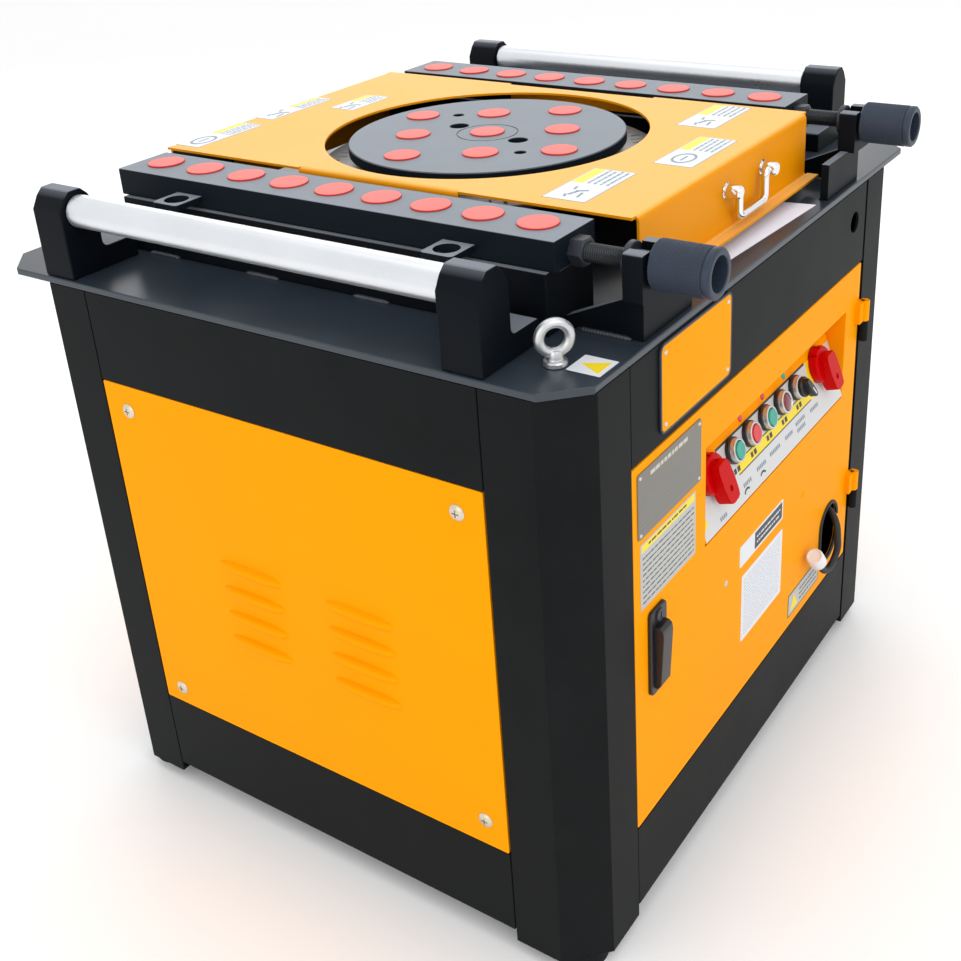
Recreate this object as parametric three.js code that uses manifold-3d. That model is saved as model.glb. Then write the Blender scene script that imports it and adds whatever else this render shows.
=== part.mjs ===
// Rebar bender: a geared turning disc in the table of a steel cabinet, between two slotted tooling rails.
// Millimetres, +Z up. The controls face -Y, the bar passes along X over the two rollers.
// Sub-parts are drawn in the table frame: z = 0 is the table's top face and the disc turns about x = y = 0.
import * as THREE from 'three';
import { mergeVertices } from 'three/addons/utils/BufferGeometryUtils.js';
import Module from 'manifold-3d';

const wasm = await Module();
wasm.setup();

// ---- driving dimensions ----
const GAP = 0.3;                 // running or fitting gap between neighbouring solids
const SHEET = 4;                 // cabinet sheet
const COVER_SHEET = 3;           // folded sheet of the top cover and the door

const TABLE_HEIGHT = 742;        // floor to table top
const TABLE = { x0: -437, x1: 489, y0: -385.5, y1: 431, thick: 8, chamfer: 40 };
const CABINET = { x0: -437, x1: 424, y0: -385.5, y1: 376, chamfer: 44, leg: 60 };
const POST_BOTTOM = -722;
const FOOT = { r: 33, inset: 45, height: TABLE_HEIGHT + POST_BOTTOM };
const UPPER_APRON_BOTTOM = -120;
const PANEL_BOTTOM = -590;
const LOWER_APRON_BOTTOM = -706;
const FLOOR_PAN = { z: -700, thick: 4, clearance: 2 };
const APRON_HOLE = { x: 275, z: -54, r: 14 };
const NAME_PLATE = { x0: -274, x1: -109, z0: -110, z1: -10, thick: 2 };
const DATA_PLATE = { x0: -323, x1: -180, z0: -209, z1: -127, thick: 1.2 };
const ELECTRICAL_BOX = { x0: 345, x1: 415, y0: -230, y1: 40, z0: -560, z1: -220 };

const DISC = { r: 175, top: 96, thick: 14, pitch: 94.4, turn: 29.5 };
const PLUG = { r: 22, high: 2.5 };
const HUB_HOLES = [[76, 55, 12], [255, 58, 12], [56, 105, 7], [236, 107, 7]];   // degrees, reach, radius
const ANGLE_RING = { r: 214, z: 62, thick: 5, slots: 18, slot: [14, 4.5], bolt_r: 6, bolt_reach: 90 };
const MAIN_SHAFT = { r: 40, bottom: -250, flange_r: 110, flange: 16, spigot_r: 49.7 };
const TABLE_BORE_R = 46;

const RAIL = { x0: 241, x1: 318, y0: -297, y1: 321, z0: 67, top: 99 };
const RAIL_PLUGS = { x: 277, first: -253.2, pitch: 66.9, count: 9 };
const RAIL_BASE = { x0: 235, x1: 324, y0: -290, y1: 314, top: RAIL.z0 - GAP };
const LUG = { size: 40, thick: 7, z: 75, hole_r: 14, y: [-183, 203] };
const SCREW = { x: 280, z: 79, rod_r: 10, in_rail: 60, collar_r: 19, collar: 7, play: 0.4 };
const NUT = { across_flats: 28, length: 16, relief: 18 };
const KNOB = { r: 25.5, bore_r: 17.5, y0: -389, y1: -453, bore_deep: 48 };
const YOKE = { half: 28, y0: -387, y1: -365, z0: 44, top: 95, slot_half: 12, foot: 92, foot_thick: 10 };

const ROLLER = { r: 19, z: 78, left: -409, right: 459, y0: -239, y1: 289, wall: 4, hole_r: 3 };
const JOURNAL = { r: 8, length: 20, play: 0.4 };
const BRACKET = { thick: 49, column: 25, foot: 98, foot_high: 26, dome: 25, shoulder: 17 };

const COVER = { x0: -222, x1: 232, y0: -333, y1: 344, top: 98, hole_r: 204, bottom: 16, flange: 16 };
const COVER_SIDE = { y0: -114, y1: 118, bottom: 74 };
const BAIL = { x0: -12, x1: 88, z: 66, drop: 34, r: 4.5, reach: 11, bend: 4, play: 0.6 };
const STANDOFF = { r: 8, length: 20 };

const DOOR = { x0: -332, x1: 311, y: -385.5, z0: PANEL_BOTTOM + 2, z1: UPPER_APRON_BOTTOM - 2 };
const RECESS = { x0: -165, x1: 263, z0: -304, z1: -177, deep: 40, wall: 2.5 };
const CONTROL_PLATE = { thick: 3, margin: 0.6 };
const LATCH = { x0: -302, x1: -270, z0: -418, z1: -312, plinth: 4 };
const GROMMET = { x: 237, z: -509, w: 62, h: 90 };
const HINGE = { x: 317, y: -392.3, r: 6.5, pin_r: 3, play: 0.3, z: [-193, -463], knuckle: 30, leaf: 14 };

const LOUVRE = { length: 98, high: 17, deep: 8, columns: [70, -95], rows: [-331, -367, -403, -439] };

const GEAR = { module: 6, main_teeth: 48, pinion_teeth: 12, z0: -104, thick: 36 };
// tooth heights in modules, half widths in pitches
const TOOTH = { root: 1.2, tip: 0.8, root_share: 0.3, tip_share: 0.11 };
const PULLEY = { large_r: 130, small_r: 43, thick: 36, z0: -404, groove: 10, lip: 5, flank: 4 };
const BELT = { thick: 4.7, gap: 1.3, inset: 11, steps: 16 };
const INPUT_AXIS = { x: 0, y: 60 };
const MOTOR_AXIS = { x: -285, y: 60 };
const MOTOR = { r: 82, top: -440, fins: 8, fin: [12, 5, 170], fin_z: -560, foot: [95, 75, 12], shaft_r: 14 };
const GEAR_CASE = { x0: -200, x1: 200, y0: -110, y1: 230, top: -125, bottom: -340, wall: 12 };
const CASE_LEG = 26;
const CASE_ROOF = 40;
const SHAFT = { pinion_r: 18, input_r: 20, play: 0.5 };
const EYE = { r: 15.2, tube: 5.3, z: 28, neck_r: 8, collar_r: 12, collar: 6, turn: 42 };
const EYE_PLACES = [[-374, -329], [428, 372]];

const BUTTON = { r: 11, ring_r: 15, ring: 12, play: 0.6, up: 68, proud: 1.5, x: [-56, -8.5, 39] };
const LAMP_X = 86.5;
const SELECTOR = { x: 134, dial_r: 13.5, dial: 6, pointer: [4.5, -18, 13], top: 14, turn: 30 };
const ROTARY = { r: 25, up: 69, base: 13, x: [-121, 211], stem_r: 6.5, hole_r: 7, turn: 6 };
const LEVER = { length: 38, top: 28 };

const CABLE_R = 5;
const CABLE_ROUTE = [
  [262, -340, -486], [253, -359, -478], [243, -378, -473], [231, -394, -475], [220, -405, -485],
  [214, -409, -499], [214, -410, -514], [211, -409, -526], [202, -408, -535], [190, -407, -538],
  [178, -406, -535], [170, -405, -528], [162, -404, -517],
];

// ---- derived places ----
const PINION_AXIS = { x: 0, y: (GEAR.main_teeth + GEAR.pinion_teeth) * GEAR.module / 2 };
const SLOPE = Math.atan2(RECESS.deep, RECESS.z1 - RECESS.z0);   // lean of the control plate from vertical
const SLOPE_LENGTH = Math.hypot(RECESS.deep, RECESS.z1 - RECESS.z0);
const CASE_FLOOR = FLOOR_PAN.z + FLOOR_PAN.thick + GAP;
const REACH = CABINET.chamfer + CABINET.leg;
// The spans between the posts on the four sides, a little short of the posts' legs.
const SPAN_X = [CABINET.x0 + REACH + 1, CABINET.x1 - REACH - 6];
const SPAN_Y = [CABINET.y0 + REACH + 1.5, CABINET.y1 - REACH - 1.5];

// ---- materials ----
function paint(color, roughness = 0.45, metalness = 0) {
  return () => new THREE.MeshStandardMaterial({ color, roughness, metalness });
}
const BLACK = paint(0x1e2124);
const YELLOW = paint(0xffa300, 0.4);
const GREY = paint(0x9aa0a6, 0.5, 0.3);
const STEEL = paint(0xd8dbe0, 0.3, 0.9);
const ZINC = paint(0xcfd2d4, 0.35, 0.8);
const CHROME = paint(0xe4e6ea, 0.12, 1);
const CAST = paint(0x5a6066, 0.7, 0.4);
const RED = paint(0xc8101a, 0.35);
const GREEN = paint(0x1aa884, 0.3);
const DARK_RED = paint(0x7c1626, 0.25);
const RUBBER = paint(0x141414, 0.8);
const WHITE = paint(0xe8e6dc, 0.5);

// ---- solids ----
function solid(geometry) {
  const plain = geometry.index ? geometry.clone() : geometry;
  plain.deleteAttribute('normal');
  plain.deleteAttribute('uv');
  const g = mergeVertices(plain, 1e-4);
  return new wasm.Manifold(new wasm.Mesh({
    numProp: 3,
    vertProperties: new Float32Array(g.attributes.position.array),
    triVerts: new Uint32Array(g.index.array),
  }));
}

function toGeometry(manifold) {
  const mesh = manifold.getMesh();
  const g = new THREE.BufferGeometry();
  g.setAttribute('position', new THREE.BufferAttribute(new Float32Array(mesh.vertProperties), 3));
  g.setIndex(new THREE.BufferAttribute(new Uint32Array(mesh.triVerts), 1));
  g.computeVertexNormals();
  return g;
}

function joined(...pieces) {
  return pieces.reduce((a, b) => a.add(b));
}

function box(x0, x1, y0, y1, z0, z1) {
  const g = new THREE.BoxGeometry(x1 - x0, y1 - y0, z1 - z0);
  return solid(g.translate((x0 + x1) / 2, (y0 + y1) / 2, (z0 + z1) / 2));
}

function cylinder(r, z0, z1, x = 0, y = 0, sides = 24) {
  const g = new THREE.CylinderGeometry(r, r, z1 - z0, sides).rotateX(Math.PI / 2);
  return solid(g.translate(x, y, (z0 + z1) / 2));
}

function cylinderY(r, y0, y1, x, z, sides = 24) {
  const g = new THREE.CylinderGeometry(r, r, y1 - y0, sides);
  return solid(g.translate(x, (y0 + y1) / 2, z));
}

function cylinderX(r, x0, x1, y, z, sides = 24) {
  const g = new THREE.CylinderGeometry(r, r, x1 - x0, sides).rotateZ(Math.PI / 2);
  return solid(g.translate((x0 + x1) / 2, y, z));
}

// Solid of revolution about Y of a closed profile [[radius, y], ...].
function lathe(profile, sides) {
  return new THREE.LatheGeometry(profile.map(([r, y]) => new THREE.Vector2(r, y)), sides);
}

// Extrusion of a closed outline [[u, v], ...] along Z from z0 to z1.
function slab(points, z0, z1) {
  const shape = new THREE.Shape(points.map(([u, v]) => new THREE.Vector2(u, v)));
  const g = new THREE.ExtrudeGeometry(shape, { depth: z1 - z0, bevelEnabled: false });
  return solid(g.translate(0, 0, z0));
}

// Extrusion along Y of an outline drawn in x and z.
function slabY(points, y0, y1) {
  const shape = new THREE.Shape(points.map(([x, z]) => new THREE.Vector2(x, z)));
  const g = new THREE.ExtrudeGeometry(shape, { depth: y1 - y0, bevelEnabled: false });
  return solid(g.rotateX(Math.PI / 2).translate(0, y1, 0));
}

// Extrusion along X of an outline drawn in y and z.
function slabX(points, x0, x1) {
  const shape = new THREE.Shape(points.map(([y, z]) => new THREE.Vector2(y, z)));
  const g = new THREE.ExtrudeGeometry(shape, { depth: x1 - x0, bevelEnabled: false });
  g.applyMatrix4(new THREE.Matrix4().makeBasis(
    new THREE.Vector3(0, 1, 0), new THREE.Vector3(0, 0, 1), new THREE.Vector3(1, 0, 0)));
  return solid(g.translate(x0, 0, 0));
}

function tube(points, r, steps, sides = 10) {
  const section = new THREE.Shape();
  section.absarc(0, 0, r, 0, Math.PI * 2);
  const path = new THREE.CatmullRomCurve3(points.map(([x, y, z]) => new THREE.Vector3(x, y, z)));
  return solid(new THREE.ExtrudeGeometry(section, { steps, extrudePath: path, curveSegments: sides / 2 }));
}

function octagon({ x0, x1, y0, y1, chamfer: c }) {
  return [
    [x0 + c, y0], [x1 - c, y0], [x1, y0 + c], [x1, y1 - c],
    [x1 - c, y1], [x0 + c, y1], [x0, y1 - c], [x0, y0 + c],
  ];
}

// The path and its copy offset to the left, closed into the outline of a folded strip.
function strip(path, thick) {
  const inner = path.map((p, i) => {
    const before = path[Math.max(i - 1, 0)];
    const after = path[Math.min(i + 1, path.length - 1)];
    const unit = (a, b) => new THREE.Vector2(b[0] - a[0], b[1] - a[1]).normalize();
    const d0 = i > 0 ? unit(before, p) : unit(p, after);
    const d1 = i < path.length - 1 ? unit(p, after) : d0;
    const bisector = new THREE.Vector2(-(d0.y + d1.y), d0.x + d1.x).normalize();
    const reach = thick / (bisector.x * -d0.y + bisector.y * d0.x);
    return [p[0] + bisector.x * reach, p[1] + bisector.y * reach];
  });
  return [...path, ...inner.reverse()];
}

// ---- the model ----
const group = new THREE.Group();
const machine = new THREE.Group();
const MIDDLE = { x: (TABLE.x0 - LOUVRE.deep + TABLE.x1) / 2, y: (KNOB.y1 + TABLE.y1) / 2 };
machine.position.set(-MIDDLE.x, -MIDDLE.y, TABLE_HEIGHT);
group.add(machine);

// A frame on the sloped control plate: x across, y up the slope, z out of the plate.
const controls = new THREE.Group();
controls.position.set(0, DOOR.y + 1.5, RECESS.z0);
controls.rotation.x = Math.PI / 2 - SLOPE;
machine.add(controls);

function part(name, shape, material, parent = machine) {
  const mesh = new THREE.Mesh(toGeometry(shape), material());
  mesh.name = name;
  parent.add(mesh);
  return mesh;
}

// Table plate with the bore for the main shaft.
function tablePlate() {
  const plate = slab(octagon(TABLE), -TABLE.thick, 0);
  return plate.subtract(cylinder(TABLE_BORE_R, -TABLE.thick - 1, 1));
}

// A folded corner post: two legs and a chamfered face, with a sole plate and a round foot.
function cornerPost(sx, sy) {
  const X = sx < 0 ? CABINET.x0 : CABINET.x1;
  const Y = sy < 0 ? CABINET.y0 : CABINET.y1;
  const c = CABINET.chamfer;
  const reach = c + CABINET.leg;
  const along = (dx, dy) => [X - sx * dx, Y - sy * dy];
  const path = [along(0, reach), along(0, c), along(c, 0), along(reach, 0)];
  const outline = strip(sx * sy > 0 ? path : path.reverse(), SHEET);
  const post = slab(outline, POST_BOTTOM + 1, -TABLE.thick - GAP);
  const sole = slab([...path, along(reach, reach)], POST_BOTTOM, POST_BOTTOM + SHEET);
  const [fx, fy] = along(FOOT.inset, FOOT.inset);
  const foot = cylinder(FOOT.r, POST_BOTTOM - FOOT.height, POST_BOTTOM + 1, fx, fy, 28);
  return joined(post, sole, foot);
}

function sidePlate(side, z0, z1) {
  const [a, b] = side === 'front' || side === 'rear' ? SPAN_X : SPAN_Y;
  const plates = {
    front: () => box(a, b, CABINET.y0, CABINET.y0 + SHEET, z0, z1),
    rear: () => box(a, b, CABINET.y1 - SHEET, CABINET.y1, z0, z1),
    left: () => box(CABINET.x0, CABINET.x0 + SHEET, a, b, z0, z1),
    right: () => box(CABINET.x1 - SHEET, CABINET.x1, a, b, z0, z1),
  };
  return plates[side]();
}

function aprons() {
  const { r, x, z } = APRON_HOLE;
  const hole = cylinderY(r, CABINET.y0 - 1, CABINET.y0 + SHEET + 1, x, z);
  for (const side of ['front', 'rear', 'left', 'right']) {
    const upper = sidePlate(side, UPPER_APRON_BOTTOM, -TABLE.thick - GAP);
    part(`upper_apron_${side}`, side === 'front' ? upper.subtract(hole) : upper, BLACK);
    part(`lower_apron_${side}`, sidePlate(side, LOWER_APRON_BOTTOM, PANEL_BOTTOM - GAP), BLACK);
  }
}

// Pressed louvre: half of a flattened ellipsoid standing out of the panel.
function louvre(x, y, z) {
  const g = new THREE.SphereGeometry(1, 8, 6);
  g.scale(LOUVRE.deep, LOUVRE.length / 2, LOUVRE.high / 2);
  return solid(g.translate(x, y, z));
}

function louvredPanel(x, outward) {
  const inside = x - outward * SHEET;
  const [x0, x1] = [Math.min(x, inside), Math.max(x, inside)];
  let panel = box(x0, x1, SPAN_Y[0] + 1, SPAN_Y[1] - 1, PANEL_BOTTOM + 1, UPPER_APRON_BOTTOM - 1);
  for (const y of LOUVRE.columns) {
    for (const z of LOUVRE.rows) panel = panel.add(louvre(x, y, z));
  }
  // the far halves of the ellipsoids are trimmed flush with the panel's inner face
  const far = inside - outward * LOUVRE.deep * 2;
  const [far0, far1] = [Math.min(inside, far), Math.max(inside, far)];
  return panel.subtract(box(far0, far1, ...SPAN_Y, PANEL_BOTTOM, UPPER_APRON_BOTTOM));
}

function panels() {
  part('left_panel', louvredPanel(CABINET.x0, -1), YELLOW);
  part('right_panel', louvredPanel(CABINET.x1, 1), YELLOW);
  const [x0, x1] = SPAN_X;
  const y = CABINET.y1;
  part('rear_panel', box(x0 + 1, x1 - 1, y - SHEET, y, PANEL_BOTTOM + 1, UPPER_APRON_BOTTOM - 1), YELLOW);
  part('name_plate', label(NAME_PLATE), YELLOW);
}

// Flat plate fixed on the front face.
function label({ x0, x1, z0, z1, thick }) {
  return box(x0, x1, CABINET.y0 - thick - GAP, CABINET.y0 - GAP, z0, z1);
}

function floorPan() {
  const { x0, x1, y0, y1, chamfer } = CABINET;
  const i = SHEET + GAP + FLOOR_PAN.clearance;
  const outline = octagon({ x0: x0 + i, x1: x1 - i, y0: y0 + i, y1: y1 - i, chamfer });
  return slab(outline, FLOOR_PAN.z, FLOOR_PAN.z + FLOOR_PAN.thick);
}

// Lifting eye bolt: ring, neck and collar.
function eyeBolt([x, y]) {
  const torus = new THREE.TorusGeometry(EYE.r, EYE.tube, 6, 16).rotateX(Math.PI / 2);
  torus.rotateZ(-THREE.MathUtils.degToRad(EYE.turn)).translate(0, 0, EYE.z);
  const neck = cylinder(EYE.neck_r, GAP, EYE.z - EYE.r, 0, 0, 12);
  const collar = cylinder(EYE.collar_r, GAP, EYE.collar, 0, 0, 16);
  return joined(solid(torus), neck, collar).translate([x, y, 0]);
}

// ---- rollers ----
function bracket(cx, outward, y0) {
  const { column, dome, foot, foot_high, shoulder, thick } = BRACKET;
  const X = (d) => cx + outward * d;
  const [low, high, top] = [ROLLER.z + 3, ROLLER.z + shoulder, ROLLER.z + dome];
  const outline = [
    [X(column), GAP], [X(column), low], [X(column - shoulder / 2), high], [X(column - shoulder), top],
    [X(shoulder - column), top], [X(shoulder / 2 - column), high], [X(-column), low],
    [X(-column), foot_high + 8], [X(column - foot), foot_high], [X(column - foot), GAP],
  ];
  return slabY(outward > 0 ? outline : outline.reverse(), y0, y0 + thick);
}

// Hollow tube closed by two journals, with a small hole right through.
function roller(cx) {
  const { r, wall, hole_r, y0, y1 } = ROLLER;
  const [start, end] = [y0 - JOURNAL.length, y1 + JOURNAL.length];
  const inset = 1;
  const cap = 12;
  const profile = [
    [hole_r, start], [JOURNAL.r, start], [JOURNAL.r, y0 + inset], [r, y0 + inset],
    [r, y1 - inset], [JOURNAL.r, y1 - inset], [JOURNAL.r, end], [hole_r, end],
    [hole_r, y1 - cap], [r - wall, y1 - cap - 2], [r - wall, y0 + cap + 2], [hole_r, y0 + cap],
    [hole_r, start],
  ];
  return solid(lathe(profile, 20).translate(cx, 0, ROLLER.z));
}

function rollers() {
  const { y0, y1 } = ROLLER;
  const end = JOURNAL.length + 1;
  for (const [side, outward] of [['left', -1], ['right', 1]]) {
    const cx = ROLLER[side];
    const bore = cylinderY(JOURNAL.r + JOURNAL.play, y0 - end, y1 + end, cx, ROLLER.z, 20);
    part(`roller_bracket_${side}_front`, bracket(cx, outward, y0 - BRACKET.thick).subtract(bore), BLACK);
    part(`roller_bracket_${side}_rear`, bracket(cx, outward, y1).subtract(bore), BLACK);
    part(`roller_${side}`, roller(cx), STEEL);
  }
}

// ---- tooling rails ----
function plug(x, y, z) {
  return cylinder(PLUG.r, z - 1, z + PLUG.high, x, y, 14);
}

// Both limits of a span given for the right-hand side, for either side.
function mirrored(side, x0, x1) {
  return side < 0 ? [-x1, -x0] : [x0, x1];
}

function lug(side, y) {
  const { size, thick, z, hole_r } = LUG;
  const [x0, x1] = mirrored(side, RAIL.x1 - 1, RAIL.x1 + size);
  const plate = box(x0, x1, y - size / 2, y + size / 2, z, z + thick);
  return plate.subtract(cylinder(hole_r, z - 1, z + thick + 1, side * (RAIL.x1 + size / 2), y, 14));
}

// A rail bar slides along Y on its base and is moved by the screw in its front end.
function rail(side) {
  let bar = box(...mirrored(side, RAIL.x0, RAIL.x1), RAIL.y0, RAIL.y1, RAIL.z0, RAIL.top);
  for (const y of LUG.y) bar = bar.add(lug(side, y));
  for (let i = 0; i < RAIL_PLUGS.count; i += 1) {
    bar = bar.add(plug(side * RAIL_PLUGS.x, RAIL_PLUGS.first + i * RAIL_PLUGS.pitch, RAIL.top));
  }
  const place = [side * SCREW.x, SCREW.z];
  const front = RAIL.y0 - NUT.length;
  const nut = cylinderY(NUT.across_flats / Math.sqrt(3), front, RAIL.y0 + 1, ...place, 6);
  const bore = cylinderY(SCREW.rod_r + SCREW.play, front - 1, RAIL.y0 + SCREW.in_rail * 2, ...place, 16);
  return bar.add(nut).subtract(bore);
}

// Plinth under the rail, with a slotted yoke standing in front of it to hold the screw's neck.
function railBase(side) {
  const cx = side * SCREW.x;
  const { half, y0, y1, z0, top, slot_half, foot, foot_thick } = YOKE;
  const front = RAIL_BASE.y0;
  const body = box(...mirrored(side, RAIL_BASE.x0, RAIL_BASE.x1), front, RAIL_BASE.y1, GAP, RAIL_BASE.top);
  const deep = NUT.relief;
  const relief = box(cx - deep, cx + deep, front - 1, front + 30, SCREW.z - deep, RAIL.z0);
  const block = box(cx - half, cx + half, y0, y1, z0, top);
  const plate_y = y0 + 8;
  const [inner, outer] = side < 0 ? [cx - slot_half, cx + foot] : [cx - foot, cx + slot_half];
  const plate = box(inner, outer, plate_y, plate_y + foot_thick, GAP, z0 + 2);
  const back = front + 1;
  const profile = [[back, GAP], [back, 12], [y1 - 2, z0 + 2], [plate_y + 1, z0 + 2], [plate_y + 1, GAP]];
  const gusset = slabX(profile, cx - slot_half, cx);
  const slot = box(cx - slot_half, cx + slot_half, y0 - 1, y1 + 1, SCREW.z, top + 1);
  const seat = cylinderY(slot_half, y0 - 1, y1 + 1, cx, SCREW.z, 20);
  return joined(body.subtract(relief), block, plate, gusset).subtract(slot).subtract(seat);
}

// Screw with its neck in the yoke's slot, a collar each side of it, and the hollow knob on its front end.
function adjustingScrew(side) {
  const cx = side * SCREW.x;
  const z = SCREW.z;
  const rod = cylinderY(SCREW.rod_r, YOKE.y1 + GAP, RAIL.y0 + SCREW.in_rail, cx, z, 14);
  const collar = cylinderY(SCREW.collar_r, YOKE.y1 + GAP, YOKE.y1 + SCREW.collar, cx, z, 18);
  const neck = cylinderY(YOKE.slot_half - 0.8, KNOB.y0 - 1, YOKE.y1 + 2, cx, z, 18);
  const knob = cylinderY(KNOB.r, KNOB.y1, KNOB.y0, cx, z, 24);
  const bore = cylinderY(KNOB.bore_r, KNOB.y1 - 1, KNOB.y1 + KNOB.bore_deep, cx, z, 20);
  return joined(rod, collar, neck, knob).subtract(bore);
}

// ---- disc and its ring ----
function turningDisc() {
  const { r, top, thick, pitch } = DISC;
  let disc = cylinder(r, top - thick, top, 0, 0, 56);
  const seat = ANGLE_RING.z + ANGLE_RING.thick + GAP;
  disc = disc.add(cylinder(MAIN_SHAFT.flange_r, seat, top - 2, 0, 0, 32));
  for (let i = -1; i <= 1; i += 1) {
    for (let j = -1; j <= 1; j += 1) disc = disc.add(plug(i * pitch, j * pitch, top));
  }
  disc = disc.rotate([0, 0, DISC.turn]);
  for (const [angle, reach, hole_r] of HUB_HOLES) {
    disc = disc.subtract(cylinder(hole_r, top - 9, top + 1, reach, 0, 12).rotate([0, 0, angle]));
  }
  return disc;
}

// The ring carries pins in its slots, which set the bending angle.
function angleRing() {
  const { r, z, thick, slots, slot, bolt_r, bolt_reach } = ANGLE_RING;
  const [low, high] = [z - 1, z + thick + 1];
  let ring = cylinder(r, z, z + thick, 0, 0, 48);
  ring = ring.subtract(cylinder(MAIN_SHAFT.spigot_r + GAP, low, high, 0, 0, 28));
  const notch = box(r - 15 - slot[0] / 2, r - 15 + slot[0] / 2, -slot[1] / 2, slot[1] / 2, low, high);
  for (let i = 0; i < slots; i += 1) ring = ring.subtract(notch.rotate([0, 0, i * 360 / slots]));
  const bolt = cylinder(bolt_r, low, high, bolt_reach, 0, 10);
  for (const angle of [45, 135, 225, 315]) ring = ring.subtract(bolt.rotate([0, 0, angle]));
  return ring;
}

function mainShaft() {
  const { r, bottom, flange_r, flange, spigot_r } = MAIN_SHAFT;
  const { z, thick } = ANGLE_RING;
  const plate = cylinder(flange_r, z - flange, z - GAP, 0, 0, 32);
  const spigot = cylinder(spigot_r, z - 1, z + thick, 0, 0, 28);
  return joined(plate, spigot, cylinder(r, bottom, z - flange + 8, 0, 0, 28));
}

// ---- drive ----
function gearOutline(teeth) {
  const m = GEAR.module;
  const root = teeth * m / 2 - TOOTH.root * m;
  const tip = teeth * m / 2 + TOOTH.tip * m;
  const { root_share, tip_share } = TOOTH;
  const corners = [[root, -root_share], [tip, -tip_share], [tip, tip_share], [root, root_share]];
  const points = [];
  for (let i = 0; i < teeth; i += 1) {
    for (const [r, share] of corners) {
      const a = (i + share) * Math.PI * 2 / teeth;
      points.push([r * Math.cos(a), r * Math.sin(a)]);
    }
  }
  return points;
}

// A tooth of the main gear points along +Y, at the pinion.
function mainGear() {
  const gear = slab(gearOutline(GEAR.main_teeth), GEAR.z0, GEAR.z0 + GEAR.thick).rotate([0, 0, 90]);
  return gear.subtract(cylinder(MAIN_SHAFT.r + GAP, GEAR.z0 - 1, GEAR.z0 + GEAR.thick + 1, 0, 0, 32));
}

// A gap between two of the pinion's teeth faces the main gear on the line of centres.
function pinionShaft() {
  const half_pitch = 180 / GEAR.pinion_teeth;
  const blank = slab(gearOutline(GEAR.pinion_teeth), GEAR.z0 - 2, GEAR.z0 + GEAR.thick + 2);
  const gear = blank.rotate([0, 0, half_pitch - 90]);
  const shaft = cylinder(SHAFT.pinion_r, GEAR_CASE.top - 70, GEAR.z0, 0, 0, 24);
  return joined(gear, shaft).translate([PINION_AXIS.x, PINION_AXIS.y, 0]);
}

function pulley(r, axis, shaft_r, shaft_z0, shaft_z1) {
  const { z0, thick, groove, lip, flank } = PULLEY;
  const z1 = z0 + thick;
  const bottom = r - groove;
  const profile = [
    [0, z0], [r, z0], [r, z0 + lip], [bottom, z0 + lip + flank],
    [bottom, z1 - lip - flank], [r, z1 - lip], [r, z1], [0, z1],
  ];
  const wheel = solid(lathe(profile, 24).rotateX(Math.PI / 2));
  return joined(wheel, cylinder(shaft_r, shaft_z0, shaft_z1, 0, 0, 16)).translate([axis.x, axis.y, 0]);
}

// Outline round both pulleys at a distance from the bottoms of their grooves.
function beltOutline(grow) {
  const R = PULLEY.large_r - PULLEY.groove + grow;
  const r = PULLEY.small_r - PULLEY.groove + grow;
  const lean = Math.acos((R - r) / (INPUT_AXIS.x - MOTOR_AXIS.x));
  const arc = (axis, radius, from, sweep) => Array.from({ length: BELT.steps + 1 }, (_, i) => {
    const a = from + sweep * i / BELT.steps;
    return [axis.x + radius * Math.cos(a), axis.y + radius * Math.sin(a)];
  });
  const round = arc(INPUT_AXIS, R, lean - Math.PI, 2 * (Math.PI - lean));
  return [...round, ...arc(MOTOR_AXIS, r, Math.PI - lean, 2 * lean)];
}

function driveBelt() {
  const z0 = PULLEY.z0 + BELT.inset;
  const z1 = PULLEY.z0 + PULLEY.thick - BELT.inset;
  const loop = slab(beltOutline(BELT.gap + BELT.thick), z0, z1);
  return loop.subtract(slab(beltOutline(BELT.gap), z0 - 1, z1 + 1));
}

function motor() {
  const { r, top, fins, fin, fin_z, foot, shaft_r } = MOTOR;
  const [half_x, half_y, foot_high] = foot;
  let body = cylinder(r, CASE_FLOOR + 10, top, 0, 0, 24);
  const rib = solid(new THREE.BoxGeometry(...fin).translate(r + 2, 0, fin_z));
  for (let i = 0; i < fins; i += 1) body = body.add(rib.rotate([0, 0, i * 360 / fins]));
  body = body.add(box(-half_x, half_x, -half_y, half_y, CASE_FLOOR, CASE_FLOOR + foot_high));
  const terminalBox = box(60, 118, -40, 40, -600, -520);
  const bore = cylinder(shaft_r + SHAFT.play, top - 60, top + 10);
  return joined(body, terminalBox).subtract(bore).translate([MOTOR_AXIS.x, MOTOR_AXIS.y, 0]);
}

// Reducer case on four legs: a hollow casting, open below, that carries the shafts' bearings.
function gearCase() {
  const { x0, x1, y0, y1, top, bottom, wall } = GEAR_CASE;
  const leg = CASE_LEG;
  let body = box(x0, x1, y0, y1, bottom, top);
  body = body.subtract(box(x0 + wall, x1 - wall, y0 + wall, y1 - wall, bottom - 1, top - CASE_ROOF));
  for (const x of [x0, x1 - leg]) {
    for (const y of [y0, y1 - leg]) body = body.add(box(x, x + leg, y, y + leg, CASE_FLOOR, bottom + 2));
  }
  body = body.add(box(x0 + 2, x1 - 2, INPUT_AXIS.y - 24, INPUT_AXIS.y + 24, bottom, bottom + 30));
  const bores = [
    [{ x: 0, y: 0 }, MAIN_SHAFT.r, top - 60, top + 1],
    [PINION_AXIS, SHAFT.pinion_r, top - 80, top + 1],
    [INPUT_AXIS, SHAFT.input_r, bottom - 1, bottom + 40],
  ];
  for (const [{ x, y }, r, z0, z1] of bores) {
    body = body.subtract(cylinder(r + SHAFT.play, z0, z1, x, y, 20));
  }
  return body;
}

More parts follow.
